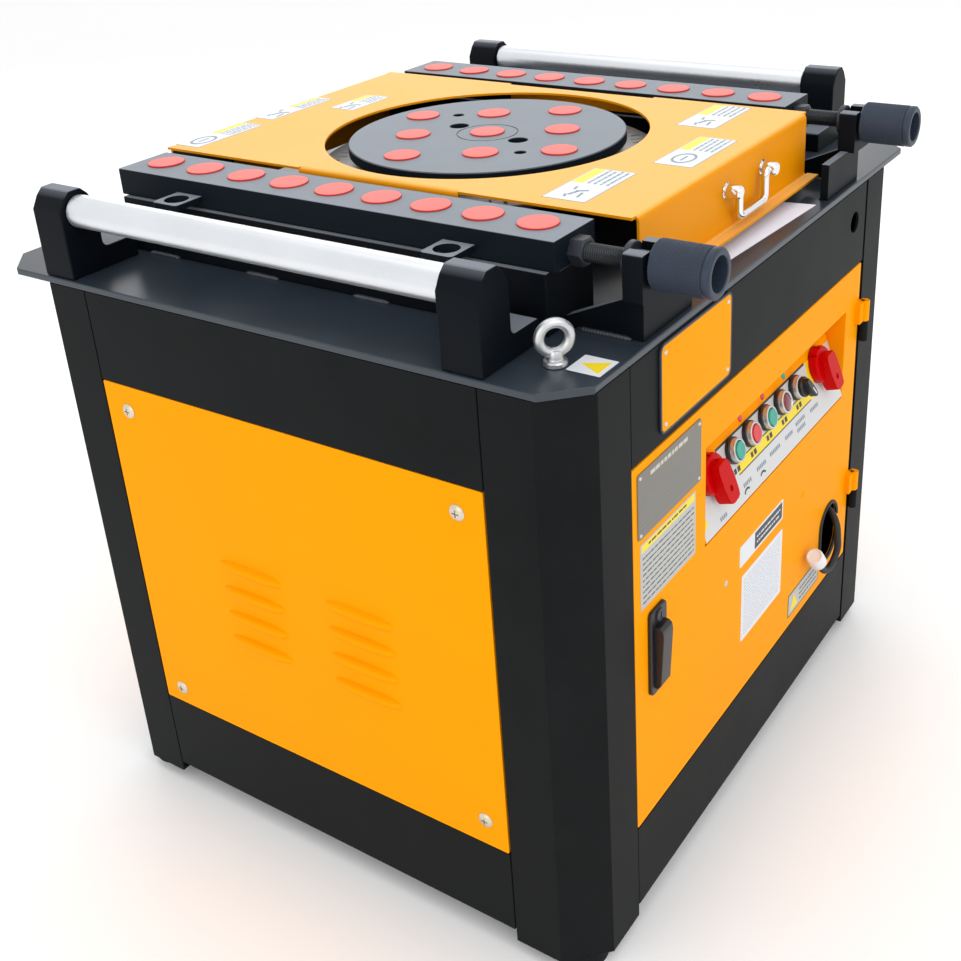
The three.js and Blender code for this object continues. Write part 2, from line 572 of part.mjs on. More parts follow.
function drive() {
  part('main_shaft', mainShaft(), CAST);
  part('main_gear', mainGear(), CAST);
  part('pinion_shaft', pinionShaft(), CAST);
  const middle = PULLEY.z0 + PULLEY.lip;
  const large = pulley(PULLEY.large_r, INPUT_AXIS, SHAFT.input_r, middle, GEAR_CASE.bottom + 80);
  part('large_pulley', large, CAST);
  const small = pulley(PULLEY.small_r, MOTOR_AXIS, MOTOR.shaft_r, MOTOR.top - 55, middle);
  part('motor_pulley', small, CAST);
  part('drive_belt', driveBelt(), RUBBER);
  part('motor', motor(), CAST);
  part('gear_case', gearCase(), CAST);
}

// ---- top cover ----
// Folded sheet: a top with a round opening, front and rear faces, a front flange and two short side folds.
function topCover() {
  const { x0, x1, y0, y1, top, hole_r, bottom, flange } = COVER;
  const s = COVER_SHEET;
  const sheet = box(x0, x1, y0, y1, top - s, top);
  const front = box(x0 + 8, x1 - 8, y0, y0 + s, bottom, top - 1);
  const lip = box(x0 + 8, x1, y0 - flange, y0 + s, bottom, bottom + s);
  const rear = box(x0 + 8, x1 - 8, y1 - s, y1, bottom, top - 1);
  const side = (x) => box(x, x + s, COVER_SIDE.y0, COVER_SIDE.y1, COVER_SIDE.bottom, top - 1);
  let cover = joined(sheet, front, lip, rear, side(x0), side(x1 - s));
  cover = cover.subtract(cylinder(hole_r, top - s - 1, top + 1, 0, 0, 56));
  for (const x of [BAIL.x0, BAIL.x1]) {
    cover = cover.add(cylinderY(STANDOFF.r, y0 - STANDOFF.length, y0 + 1, x, BAIL.z, 12));
  }
  const pivot = cylinderX(BAIL.r + BAIL.play, BAIL.x0 - 20, BAIL.x1 + 20, y0 - BAIL.reach, BAIL.z, 12);
  return cover.subtract(pivot);
}

// Drop handle: one round bar bent into a U, whose ends pass through the standoffs.
function coverHandle() {
  const { x0, x1, z, drop, r, reach, bend } = BAIL;
  const y = COVER.y0 - reach;
  const low = z - drop;
  const leg = x0 + STANDOFF.r + 6;
  const half = [
    [x0 - STANDOFF.r - 3, z], [x0, z], [leg - bend, z], [leg, z - bend],
    [leg, (z + low) / 2], [leg, low + bend], [leg + bend, low],
  ];
  const other = half.map(([x, w]) => [x0 + x1 - x, w]).reverse();
  return tube([...half, ...other].map(([x, w]) => [x, y, w]), r, 28, 8);
}

// ---- door and controls ----
// Side walls and ceiling behind the control window, open towards the control plate.
function controlPocket() {
  const { x0, x1, z0, z1, deep, wall } = RECESS;
  const y = DOOR.y + COVER_SHEET;
  const back = DOOR.y + deep;
  const [front, end] = [y - 0.5, back + wall];
  const outer = [[front, z0 + 1 - wall], [front, z1 + wall], [end, z1 + wall], [end, z1 - 4]];
  return slabX(outer, x0 - wall, x1 + wall);
}

function controlHollow() {
  const { x0, x1, z0, z1, deep } = RECESS;
  const y = DOOR.y;
  const slope = [[y + deep, z1], [y + deep + 8, z1 - 1], [y + COVER_SHEET, z0 - 4]];
  return slabX([[y - 1, z0], [y - 1, z1], ...slope], x0, x1);
}

function ovalHole({ x, z, w, h }) {
  const [y0, y1] = [DOOR.y - 1, DOOR.y + COVER_SHEET + 1];
  const rise = (h - w) / 2;
  const ends = [z + rise, z - rise].map((end) => cylinderY(w / 2, y0, y1, x, end, 20));
  return joined(...ends, box(x - w / 2, x + w / 2, y0, y1, z - rise, z + rise));
}

// The door's half of a hinge: a knuckle bored from below for the pin, and a leaf.
function doorKnuckle(door, z) {
  const { x, y, r, pin_r, play, knuckle, leaf } = HINGE;
  const [z0, z1] = [z - knuckle / 2, z + knuckle / 2];
  const plate = box(DOOR.x1 - leaf, x, y - 1, DOOR.y + 1, z0, z1);
  const bore = cylinder(pin_r + play, z0 - 1, z1 - 4, x, y, 10);
  return joined(door, cylinder(r, z0, z1, x, y, 14), plate).subtract(bore);
}

function frontDoor() {
  const { x0, x1, y, z0, z1 } = DOOR;
  let door = box(x0, x1, y, y + COVER_SHEET, z0, z1);
  door = door.add(controlPocket()).subtract(controlHollow()).subtract(ovalHole(GROMMET));
  for (const z of HINGE.z) door = doorKnuckle(door, z);
  return door.add(box(LATCH.x0, LATCH.x1, y - LATCH.plinth, y + 1, LATCH.z0, LATCH.z1));
}

// The post's half of a hinge, with the pin that stands in the door's knuckle.
function hinge(z) {
  const { x, y, r, pin_r, knuckle, leaf } = HINGE;
  const top = z - knuckle / 2 - GAP;
  const bottom = top - knuckle;
  const pin = cylinder(pin_r, top - 5, top + knuckle - 6, x, y, 10);
  const plate = box(x, CABINET.x1 - REACH + leaf, y - 1, CABINET.y0 - GAP, bottom, top);
  return joined(cylinder(r, bottom, top, x, y, 14), pin, plate);
}

function controlPlate() {
  const { thick, margin } = CONTROL_PLATE;
  const { r, ring_r, ring, play, up } = BUTTON;
  let plate = box(RECESS.x0 + margin, RECESS.x1 - margin, 4, SLOPE_LENGTH - 3, 0, thick);
  for (const x of [...BUTTON.x, LAMP_X, SELECTOR.x]) {
    plate = plate.add(cylinder(ring_r, 1, thick + ring, x, up, 20));
    plate = plate.subtract(cylinder(r + play, -1, thick + ring + 1, x, up, 20));
  }
  for (const x of ROTARY.x) plate = plate.subtract(cylinder(ROTARY.hole_r, -1, thick + 1, x, ROTARY.up, 14));
  return plate;
}

function buttonCap(x) {
  const { thick } = CONTROL_PLATE;
  return cylinder(BUTTON.r, thick + 1, thick + BUTTON.ring + BUTTON.proud, x, BUTTON.up, 20);
}

function selector() {
  const face = CONTROL_PLATE.thick + BUTTON.ring;
  const { x, dial_r, dial, pointer: [half, y0, y1], top, turn } = SELECTOR;
  const stem = cylinder(BUTTON.r, CONTROL_PLATE.thick + 1, face + 4, 0, 0, 20);
  const knob = cylinder(dial_r, face + 1, face + dial, 0, 0, 20);
  const pointer = box(-half, half, y0, y1, face + dial - 2, face + top);
  return joined(stem, knob, pointer).rotate([0, 0, turn]).translate([x, BUTTON.up, 0]);
}

// Round switch handle with a lever that tapers downwards.
function rotaryHandle(x) {
  const z = CONTROL_PLATE.thick;
  const { r, up, base, stem_r, turn } = ROTARY;
  const end = -LEVER.length;
  const body = cylinder(r, z + GAP, z + base, 0, 0, 32);
  const stem = cylinder(stem_r, -8, z + 2, 0, 0, 20);
  const outline = [[-14, -12], [-9, end], [13, end], [15, -12], [12, 14], [-12, 14]];
  const lever = slab(outline, z + base - 6, z + LEVER.top);
  return joined(body, stem, lever).rotate([0, 0, turn]).translate([x, up, 0]);
}

function latchPaddle() {
  const y = DOOR.y - LATCH.plinth - GAP;
  const outline = [[y, -320], [y - 10, -322], [y - 12, -330], [y - 8, -408], [y - 2, -412], [y, -411]];
  return slabX(outline, LATCH.x0 + 4, LATCH.x1 - 4);
}

function doorParts() {
  part('front_door', frontDoor(), YELLOW);
  part('data_plate', label(DATA_PLATE), ZINC);
  part('hinge_upper', hinge(HINGE.z[0]), YELLOW);
  part('hinge_lower', hinge(HINGE.z[1]), YELLOW);
  part('latch_paddle', latchPaddle(), RUBBER);
  part('control_plate', controlPlate(), WHITE, controls);
  part('button_green_left', buttonCap(BUTTON.x[0]), GREEN, controls);
  part('button_red', buttonCap(BUTTON.x[1]), RED, controls);
  part('button_green_right', buttonCap(BUTTON.x[2]), GREEN, controls);
  part('indicator_lamp', buttonCap(LAMP_X), DARK_RED, controls);
  part('selector_switch', selector(), RUBBER, controls);
  part('rotary_handle_left', rotaryHandle(ROTARY.x[0]), RED, controls);
  part('rotary_handle_right', rotaryHandle(ROTARY.x[1]), RED, controls);
}

// Short black cable out of the oval opening.
function cable() {
  return tube(CABLE_ROUTE, CABLE_R, 26, 8);
}

// Round white connector on the cable's end, in line with it.
function connector() {
  const [before, end] = CABLE_ROUTE.slice(-2).map((p) => new THREE.Vector3(...p));
  const profile = [[0, 0.4], [6, 0.4], [7.5, 5], [12, 8], [12, 28], [10.5, 30], [0, 30]];
  const along = end.clone().sub(before).normalize();
  const turn = new THREE.Quaternion().setFromUnitVectors(new THREE.Vector3(0, 1, 0), along);
  return solid(lathe(profile, 20).applyQuaternion(turn).translate(end.x, end.y, end.z));
}

function electricalBox() {
  const { x0, x1, y0, y1, z0, z1 } = ELECTRICAL_BOX;
  return box(x0, x1, y0, y1, z0, z1);
}

// ---- assembly ----
part('table_plate', tablePlate(), BLACK);
for (const [across, sx] of [['left', -1], ['right', 1]]) {
  part(`corner_post_front_${across}`, cornerPost(sx, -1), BLACK);
  part(`corner_post_rear_${across}`, cornerPost(sx, 1), BLACK);
}
aprons();
panels();
part('floor_pan', floorPan(), BLACK);
part('eye_bolt_front', eyeBolt(EYE_PLACES[0]), ZINC);
part('eye_bolt_rear', eyeBolt(EYE_PLACES[1]), ZINC);
rollers();
for (const [name, side] of [['left', -1], ['right', 1]]) {
  part(`rail_base_${name}`, railBase(side), BLACK);
  part(`rail_${name}`, rail(side), GREY);
  part(`adjusting_screw_${name}`, adjustingScrew(side), BLACK);
}
part('turning_disc', turningDisc(), GREY);
part('angle_ring', angleRing(), ZINC);
drive();
part('top_cover', topCover(), YELLOW);
part('cover_handle', coverHandle(), CHROME);
doorParts();
part('cable_end', cable(), RUBBER);
part('cable_connector', connector(), WHITE);
part('electrical_box', electricalBox(), GREY);

export default group;
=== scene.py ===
"""Looks of a rebar bender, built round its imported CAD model.

Shapes are written in millimetres in the table frame: z = 0 is the table's top face and the disc turns about
x = y = 0. place() turns them into the row frame's metres.
"""
import random
from math import cos, pi, radians, sin, sqrt, tan

import bmesh
import bpy
from mathutils import Matrix, Vector


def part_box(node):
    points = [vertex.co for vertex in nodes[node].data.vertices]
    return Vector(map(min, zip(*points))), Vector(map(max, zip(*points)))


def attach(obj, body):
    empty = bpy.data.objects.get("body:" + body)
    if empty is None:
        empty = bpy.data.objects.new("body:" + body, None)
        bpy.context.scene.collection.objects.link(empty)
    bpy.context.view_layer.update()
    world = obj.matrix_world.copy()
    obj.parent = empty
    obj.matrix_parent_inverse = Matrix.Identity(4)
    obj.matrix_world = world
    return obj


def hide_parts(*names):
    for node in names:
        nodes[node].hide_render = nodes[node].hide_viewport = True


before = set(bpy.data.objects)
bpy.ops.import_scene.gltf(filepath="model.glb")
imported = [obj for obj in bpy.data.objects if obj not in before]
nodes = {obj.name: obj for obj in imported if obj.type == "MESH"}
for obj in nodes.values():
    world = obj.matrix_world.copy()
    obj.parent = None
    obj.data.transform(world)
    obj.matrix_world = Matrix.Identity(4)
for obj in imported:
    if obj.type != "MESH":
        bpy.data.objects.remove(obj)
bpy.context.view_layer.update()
scene = bpy.context.scene
draw = random.Random(7)

disc_low, disc_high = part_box("turning_disc")
TABLE = Vector(((disc_low.x + disc_high.x) / 2, (disc_low.y + disc_high.y) / 2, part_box("table_plate")[1].z))
MM = 0.001


def place(x, y, z):
    return TABLE + Vector((x, y, z)) * MM


# ---- camera: 48 mm lens, 55 degrees to the left of the controls, looking 25 degrees down ----
def make_camera():
    azimuth, elevation, roll = (radians(a) for a in (-55.16, 24.91, 3.36))
    back = Vector((sin(azimuth) * cos(elevation), -cos(azimuth) * cos(elevation), sin(elevation)))
    right = (-back).cross(Vector((0, 0, 1))).normalized()
    down = (-back).cross(right)
    across = right * cos(roll) + down * sin(roll)
    below = down * cos(roll) - right * sin(roll)
    data = bpy.data.cameras.new("camera")
    camera = bpy.data.objects.new("camera", data)
    scene.collection.objects.link(camera)
    camera.matrix_world = Matrix.Translation(place(-1294.85, -926.44, 514.79)) @ Matrix(
        (across, -below, back)).transposed().to_4x4()
    frame_px, focal_px = 961, 1286.61
    data.sensor_width = 36
    data.lens = data.sensor_width * focal_px / frame_px
    data.shift_x = (frame_px / 2 - 517.32) / frame_px
    data.shift_y = (361.96 - frame_px / 2) / frame_px
    data.clip_end = 50
    scene.camera = camera


make_camera()


# ---- materials ----
def add(tree, kind, **values):
    node = tree.nodes.new(kind)
    for key, value in values.items():
        if hasattr(node, key):
            setattr(node, key, value)
        else:
            node.inputs[key.replace("_", " ")].default_value = value
    return node


slot_of = {}      # each material's slot, looked up for its pieces unless they name another


def finish_of(name, slot, color, roughness, metallic=0.0, specular=0.5, coat=0.0, vary=0.08,
              patch=14.0, grain=420.0, bump=0.12, stretch=(1, 1, 1), top=None, rough_vary=0.08):
    """A painted, plated or moulded surface: soft colour patches, uneven roughness and a fine grain.

    stretch pulls the grain out along an axis, as grinding does. top is painted sky reflection: a lighter
    colour laid on upward faces in place of the glare they catch.
    """
    m = bpy.data.materials.new(name)
    slot_of[m.name] = slot
    m.use_nodes = True
    tree = m.node_tree
    shader = tree.nodes["Principled BSDF"]
    shader.inputs["Metallic"].default_value = metallic
    shader.inputs["Specular IOR Level"].default_value = specular
    shader.inputs["Coat Weight"].default_value = coat
    shader.inputs["Coat Roughness"].default_value = 0.15
    link = tree.links.new
    where = add(tree, "ShaderNodeTexCoord")
    patches = add(tree, "ShaderNodeTexNoise", Scale=patch, Detail=4.0, Roughness=0.6)
    link(where.outputs["Object"], patches.inputs["Vector"])

    def shades(base):
        mix = add(tree, "ShaderNodeMix", data_type="RGBA")
        mix.inputs["A"].default_value = (*[c * (1 - vary) for c in base], 1)
        mix.inputs["B"].default_value = (*[min(c * (1 + vary) + vary * 0.01, 1) for c in base], 1)
        link(patches.outputs["Fac"], mix.inputs["Factor"])
        return mix.outputs["Result"]

    result = shades(color)
    # painted sky reflection: faces turned upward blend into the lighter top colour
    if top:
        split = add(tree, "ShaderNodeSeparateXYZ")
        link(where.outputs["Normal"], split.inputs["Vector"])
        sky_glare_mask = add(tree, "ShaderNodeMapRange")
        sky_glare_mask.inputs["From Min"].default_value = 0.6
        sky_glare_mask.inputs["From Max"].default_value = 0.9
        link(split.outputs["Z"], sky_glare_mask.inputs["Value"])
        both = add(tree, "ShaderNodeMix", data_type="RGBA")
        link(sky_glare_mask.outputs["Result"], both.inputs["Factor"])
        link(result, both.inputs["A"])
        link(shades(top), both.inputs["B"])
        result = both.outputs["Result"]
    link(result, shader.inputs["Base Color"])
    wear = add(tree, "ShaderNodeMapRange")
    wear.inputs["To Min"].default_value = max(roughness - rough_vary, 0.02)
    wear.inputs["To Max"].default_value = min(roughness + rough_vary, 1)
    link(patches.outputs["Fac"], wear.inputs["Value"])
    link(wear.outputs["Result"], shader.inputs["Roughness"])
    spread = add(tree, "ShaderNodeMapping")
    spread.inputs["Scale"].default_value = stretch
    fine = add(tree, "ShaderNodeTexNoise", Scale=grain, Detail=2.0)
    relief = add(tree, "ShaderNodeBump", Strength=bump, Distance=0.0004)
    link(where.outputs["Object"], spread.inputs["Vector"])
    link(spread.outputs["Vector"], fine.inputs["Vector"])
    link(fine.outputs["Fac"], relief.inputs["Height"])
    link(relief.outputs["Normal"], shader.inputs["Normal"])
    return m


BLACK = finish_of("black_paint", "black_paint", (0.0062, 0.0075, 0.008), 0.45, specular=0.055, vary=0.3)
YELLOW = finish_of("yellow_paint", "yellow_paint", (0.95, 0.335, 0.0), 0.42, specular=0.025, vary=0.03,
                   patch=5.0)
# cover_paint: the yellow paint made darker; its top colour is painted sky reflection on the cover's upward
# faces
COVER = finish_of("cover_paint", "yellow_paint", (0.76, 0.275, 0.001), 0.40, specular=0.055, vary=0.04,
                  patch=6.0, top=(0.86, 0.46, 0.10))
# tooling_paint: satin black paint; its grey top colour is painted sky reflection on the upward faces of the
# rails and disc
TOOLING = finish_of("tooling_paint", "tooling_grey", (0.004, 0.008, 0.013), 0.5, specular=0.09, vary=0.15,
                    top=(0.23, 0.255, 0.29))
# bracket_paint: black paint; its grey top colour is painted sky reflection on the upward faces of the
# brackets and rail bases
TOOLING_BLACK = finish_of("bracket_paint", "black_paint", (0.003, 0.0045, 0.007), 0.4, specular=0.06,
                          vary=0.2, top=(0.17, 0.185, 0.215))
# plug_plastic: red plastic; its pale top colour is painted sky reflection on the plugs' upward faces
PLUG = finish_of("plug_plastic", "red_plastic", (0.50, 0.035, 0.03), 0.5, specular=0.12, vary=0.05,
                 top=(0.80, 0.195, 0.175), bump=0.05)
NICKEL = finish_of("nickel_plate", "zinc_plate", (0.66, 0.60, 0.47), 0.3, metallic=0.85, vary=0.1, patch=60.0)
DARK_STEEL = finish_of("dark_steel", "blackened_steel", (0.022, 0.027, 0.036), 0.46, metallic=0.2, vary=0.25,
                       bump=0.3)
KNURL = finish_of("knurled_steel", "blackened_steel", (0.030, 0.042, 0.066), 0.42, metallic=0.2, specular=0.3,
                  vary=0.2)
ROLLER = finish_of("roller_steel", "roller_steel", (0.74, 0.76, 0.79), 0.30, metallic=0.85, vary=0.06,
                   grain=60.0, bump=0.25, stretch=(1, 40, 1))
ZINC = finish_of("zinc_plate", "zinc_plate", (0.62, 0.63, 0.64), 0.34, metallic=0.9, vary=0.14, patch=60.0,
                 bump=0.3)
RING = finish_of("ring_steel", "zinc_plate", (0.46, 0.47, 0.48), 0.42, metallic=0.4, vary=0.15, patch=30.0)
CHROME = finish_of("chrome", "chrome_plate", (0.80, 0.80, 0.81), 0.09, metallic=1.0, vary=0.03,
                   rough_vary=0.04, bump=0.02)
CAST = finish_of("cast_iron", None, (0.10, 0.115, 0.13), 0.6, metallic=0.3, vary=0.25, patch=40.0, bump=0.6)
RED = finish_of("red_plastic", "red_plastic", (0.54, 0.0, 0.001), 0.28, specular=0.08, vary=0.05, bump=0.04)
GREEN = finish_of("green_plastic", "green_plastic", (0.004, 0.33, 0.235), 0.28, coat=0.2, vary=0.04,
                  bump=0.03)
CAP_RED = finish_of("button_red", "red_plastic", (0.62, 0.012, 0.02), 0.28, coat=0.2, vary=0.04, bump=0.03)
LENS = finish_of("lamp_lens", "lamp_lens", (0.17, 0.006, 0.016), 0.16, coat=0.5, vary=0.1, bump=0.05)
BEZEL = finish_of("bezel_metal", "zinc_plate", (0.58, 0.58, 0.57), 0.26, metallic=0.7, vary=0.05, bump=0.03)
MOULDED = finish_of("black_plastic", "black_plastic", (0.008, 0.008, 0.010), 0.38, vary=0.2, bump=0.25)
RUBBER = finish_of("cable_rubber", "black_plastic", (0.010, 0.010, 0.011), 0.55, vary=0.2, bump=0.2)
PALE = finish_of("pale_plastic", "white_plastic", (0.76, 0.77, 0.79), 0.4, vary=0.06, bump=0.15)
PANEL = finish_of("panel_print", "white_plastic", (0.60, 0.61, 0.61), 0.4, vary=0.03, bump=0.03)
PAPER = finish_of("label_white", "white_plastic", (0.70, 0.73, 0.77), 0.5, vary=0.03, bump=0.04)
SHEET = finish_of("paper", "white_plastic", (0.85, 0.86, 0.97), 0.7, vary=0.02, bump=0.2)
INK = finish_of("label_ink", "black_plastic", (0.03, 0.035, 0.05), 0.5, vary=0.1, bump=0.02)
INK_GREY = finish_of("label_grey", "black_plastic", (0.20, 0.25, 0.32), 0.5, vary=0.1, bump=0.02)
INK_YELLOW = finish_of("label_yellow", "yellow_paint", (0.86, 0.66, 0.01), 0.45, vary=0.04, bump=0.02)
ETCHED = finish_of("data_plate", "zinc_plate", (0.20, 0.19, 0.165), 0.42, metallic=0.5, vary=0.08, patch=30.0,
                   grain=300.0, stretch=(1, 1, 12))
BOX_PAINT = finish_of("box_paint", None, (0.42, 0.43, 0.42), 0.5, vary=0.05)


# ---- meshes ----
def prism(points, low, high, axis="z"):
    """Extrusion of a closed outline. Its two coordinates are the other two axes, in x, y, z order."""
    at = {"z": lambda u, v, w: (u, v, w), "y": lambda u, v, w: (u, w, v),
          "x": lambda u, v, w: (w, u, v)}[axis]
    n = len(points)
    verts = [at(u, v, w) for w in (low, high) for u, v in points]
    faces = [tuple(range(n))[::-1], tuple(range(n, 2 * n))]
    faces += [(i, (i + 1) % n, n + (i + 1) % n, n + i) for i in range(n)]
    return verts, faces


def block(x0, x1, y0, y1, z0, z1):
    return prism([(x0, y0), (x1, y0), (x1, y1), (x0, y1)], z0, z1)


def turned(profile, centre=(0, 0, 0), axis=(0, 0, 1), steps=64, closed=False):
    """Surface of revolution of (radius, height) points about an axis; ends on the axis close themselves."""
    turn = Vector((0, 0, 1)).rotation_difference(Vector(axis)).to_matrix()
    verts, rows = [], []
    for r, h in profile:
        if r < 1e-6:
            rows.append([len(verts)] * steps)
            verts.append(turn @ Vector((0, 0, h)) + Vector(centre))
            continue
        rows.append(list(range(len(verts), len(verts) + steps)))
        for i in range(steps):
            a = 2 * pi * i / steps
            verts.append(turn @ Vector((r * cos(a), r * sin(a), h)) + Vector(centre))
    faces = []
    pairs = list(zip(rows, rows[1:])) + ([(rows[-1], rows[0])] if closed else [])
    for low, high in pairs:
        for i in range(steps):
            face = [low[i], low[(i + 1) % steps], high[(i + 1) % steps], high[i]]
            face = [v for k, v in enumerate(face) if v != face[k - 1]]
            if len(face) > 2:
                faces.append(tuple(face))
    return verts, faces


def together(*shapes):
    verts, faces = [], []
    for v, f in shapes:
        faces += [tuple(i + len(verts) for i in face) for face in f]
        verts += list(v)
    return verts, faces


def moved(shape, matrix):
    return [matrix @ Vector(v) for v in shape[0]], shape[1]


def spun(shape, degrees):
    return moved(shape, Matrix.Rotation(radians(degrees), 4, "Z"))


def arc(cx, cy, r, start, end, steps=8):
    angles = [radians(start + (end - start) * i / steps) for i in range(steps + 1)]
    return [(cx + r * cos(a), cy + r * sin(a)) for a in angles]


def rounded(x0, x1, y0, y1, r, steps=6):
    """Outline of a rectangle with round corners."""
    corners = ((x1 - r, y0 + r, -90), (x1 - r, y1 - r, 0), (x0 + r, y1 - r, 90), (x0 + r, y0 + r, 180))
    return [p for cx, cy, a in corners for p in arc(cx, cy, r, a, a + 90, steps)]


def folded(path, thick, radius, steps=6):
    """Outline of a sheet folded along a path of its outer face; the metal lies to the left of the path."""
    outer, inner = [], []
    points = [Vector(p) for p in path]
    for i, p in enumerate(points):
        if i in (0, len(points) - 1):
            d = (points[1] - p if i == 0 else p - points[i - 1]).normalized()
            outer.append(p)
            inner.append(p + Vector((-d.y, d.x)) * thick)
            continue
        d0, d1 = (p - points[i - 1]).normalized(), (points[i + 1] - p).normalized()
        turn = d0.angle_signed(d1)
        left = turn < 0
        r = radius if left else radius - thick
        reach = r * tan(abs(turn) / 2)
        side = 1 if left else -1
        centre = p - d0 * reach + Vector((-d0.y, d0.x)) * r * side
        spoke = (p - d0 * reach) - centre
        for k in range(steps + 1):
            s = Matrix.Rotation(-turn * k / steps, 2) @ spoke
            outer.append(centre + s)
            inner.append(centre + s * ((r - thick * side) / r))
    return [tuple(p) for p in outer + inner[::-1]]


def new_object(name, shape):
    verts, faces = shape
    mesh = bpy.data.meshes.new(name)
    mesh.from_pydata([place(*v) for v in verts], [], faces)
    work = bmesh.new()
    work.from_mesh(mesh)
    bmesh.ops.recalc_face_normals(work, faces=work.faces)
    work.to_mesh(mesh)
    work.free()
    obj = bpy.data.objects.new(name, mesh)
    scene.collection.objects.link(obj)
    return obj


def carve(obj, shape, operation="DIFFERENCE"):
    """Cuts a shape out of an object, or joins it on, for good."""
    tool = new_object("tool", shape)
    change = obj.modifiers.new("carve", "BOOLEAN")
    change.operation, change.solver, change.object = operation, "EXACT", tool
    settled = bpy.data.meshes.new_from_object(obj.evaluated_get(bpy.context.evaluated_depsgraph_get()))
    obj.modifiers.clear()
    obj.data = settled
    bpy.data.objects.remove(tool)
    return obj


def soften(obj, width, segments=2, angle=35):
    """Rounds the edges by width, in mm."""
    if width:
        bevel = obj.modifiers.new("edges", "BEVEL")
        bevel.width, bevel.segments = width * MM, segments
        bevel.limit_method, bevel.angle_limit = "ANGLE", radians(angle)
        bevel.harden_normals = True
        bevel.use_clamp_overlap = True
    even = obj.modifiers.new("shading", "WEIGHTED_NORMAL")
    even.keep_sharp = True


def seat(obj, body, material, stands_for, slot=None):
    """Puts a piece on its body and hides the CAD nodes that it stands for."""
    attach(obj, body)
    slot or slot_of[material.name]
    if stands_for:
        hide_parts(*stands_for)
    return obj


def piece(name, shape, body, material, bevel=0.6, segments=2, cuts=(), joins=(), stands_for=(), sharp=35,
          slot=None):
    """One visible piece: a shape with its cuts, soft edges, material and body."""
    obj = new_object(name, shape) if isinstance(shape, tuple) else shape
    for extra in joins:
        carve(obj, extra, "UNION")
    for cut in cuts:
        carve(obj, cut)
    obj.data.materials.clear()
    obj.data.materials.append(material)
    obj.data.shade_smooth()
    obj.data.set_sharp_from_angle(angle=radians(sharp))
    soften(obj, bevel, segments, sharp)
    return seat(obj, body, material, stands_for, slot)


def tube(name, points, radius, body, material, stands_for=()):
    """A round bar or cable along points."""
    data = bpy.data.curves.new(name, "CURVE")
    data.dimensions = "3D"
    data.bevel_depth, data.bevel_resolution, data.use_fill_caps = radius * MM, 6, True
    line = data.splines.new("POLY")
    line.points.add(len(points) - 1)
    for spot, p in zip(line.points, points):
        spot.co = (*place(*p), 1)
    line.use_smooth = True
    obj = bpy.data.objects.new(name, data)
    scene.collection.objects.link(obj)
    data.materials.append(material)
    return seat(obj, body, material, stands_for)


def through(points, per_span=4):
    """Points of a centripetal Catmull-Rom curve through the given points."""
    pts = [Vector(p) for p in points]
    pts = [pts[0] * 2 - pts[1]] + pts + [pts[-1] * 2 - pts[-2]]
    result = []
    for p0, p1, p2, p3 in zip(pts, pts[1:], pts[2:], pts[3:]):
        t0 = 0
        t1 = t0 + (p1 - p0).length ** 0.5
        t2 = t1 + (p2 - p1).length ** 0.5
        t3 = t2 + (p3 - p2).length ** 0.5
        for k in range(per_span):
            t = t1 + (t2 - t1) * k / per_span
            a1 = p0 * ((t1 - t) / (t1 - t0)) + p1 * ((t - t0) / (t1 - t0))
            a2 = p1 * ((t2 - t) / (t2 - t1)) + p2 * ((t - t1) / (t2 - t1))
            a3 = p2 * ((t3 - t) / (t3 - t2)) + p3 * ((t - t2) / (t3 - t2))
            b1 = a1 * ((t2 - t) / (t2 - t0)) + a2 * ((t - t0) / (t2 - t0))
            b2 = a2 * ((t3 - t) / (t3 - t1)) + a3 * ((t - t1) / (t3 - t1))
            result.append(b1 * ((t2 - t) / (t2 - t1)) + b2 * ((t - t1) / (t2 - t1)))
    return result + [pts[-2]]


# ---- the cable, first of the pieces ----
CABLE_ROUTE = [
    (262, -340, -486), (253, -359, -478), (243, -378, -473), (231, -394, -475), (220, -405, -485),
    (214, -409, -499), (214, -410, -514), (211, -409, -526), (202, -408, -535), (190, -407, -538),
    (178, -406, -535), (170, -405, -528), (162, -404, -517), ]


def cable():
    line = through(CABLE_ROUTE, 3)
    length = sum((b - a).length for a, b in zip(line, line[1:]))
    cord = tube("cable", line, 5, "door_body", RUBBER, ("cable_end",))
    end, before = Vector(CABLE_ROUTE[-1]), Vector(CABLE_ROUTE[-2])
    profile = [(0, 0.4), (5.4, 0.4), (6.3, 1.4), (7.5, 5), (11, 7.2), (12, 9), (12, 14.8), (11.3, 15.5),
               (11.3, 17.7), (12, 18.4), (12, 26), (11.2, 29), (9.8, 29.8), (9.2, 27.6), (0, 27.6)]
    plug = piece("cable_plug", turned(profile, end, end - before, 48), "door_body", PALE,
                 0.3, stands_for=("cable_connector",))
    start = Vector(CABLE_ROUTE[0])
    way = start - Vector(CABLE_ROUTE[1])
    gland = [(0, 0), (5.3, 0), (6.2, 4), (7.4, 12), (7.8, 13), (0, 13)]
    piece("cable_gland", turned(gland, start - way.normalized() * 1.5, way, 32), "door_body", MOULDED, 0.3)
    place(*CABLE_ROUTE[0])


cable()


# ---- room: white floor and sky, with soft lights ----
def area_light(name, where, aim, size, power, color=(1, 1, 1)):
    data = bpy.data.lights.new(name, "AREA")
    data.shape, data.size, data.size_y = "RECTANGLE", size[0], size[1]
    data.energy, data.color = power, color
    lamp = bpy.data.objects.new(name, data)
    turn = (Vector(aim) - Vector(where)).to_track_quat("-Z", "Y")
    lamp.matrix_world = Matrix.Translation(where) @ turn.to_matrix().to_4x4()
    scene.collection.objects.link(lamp)


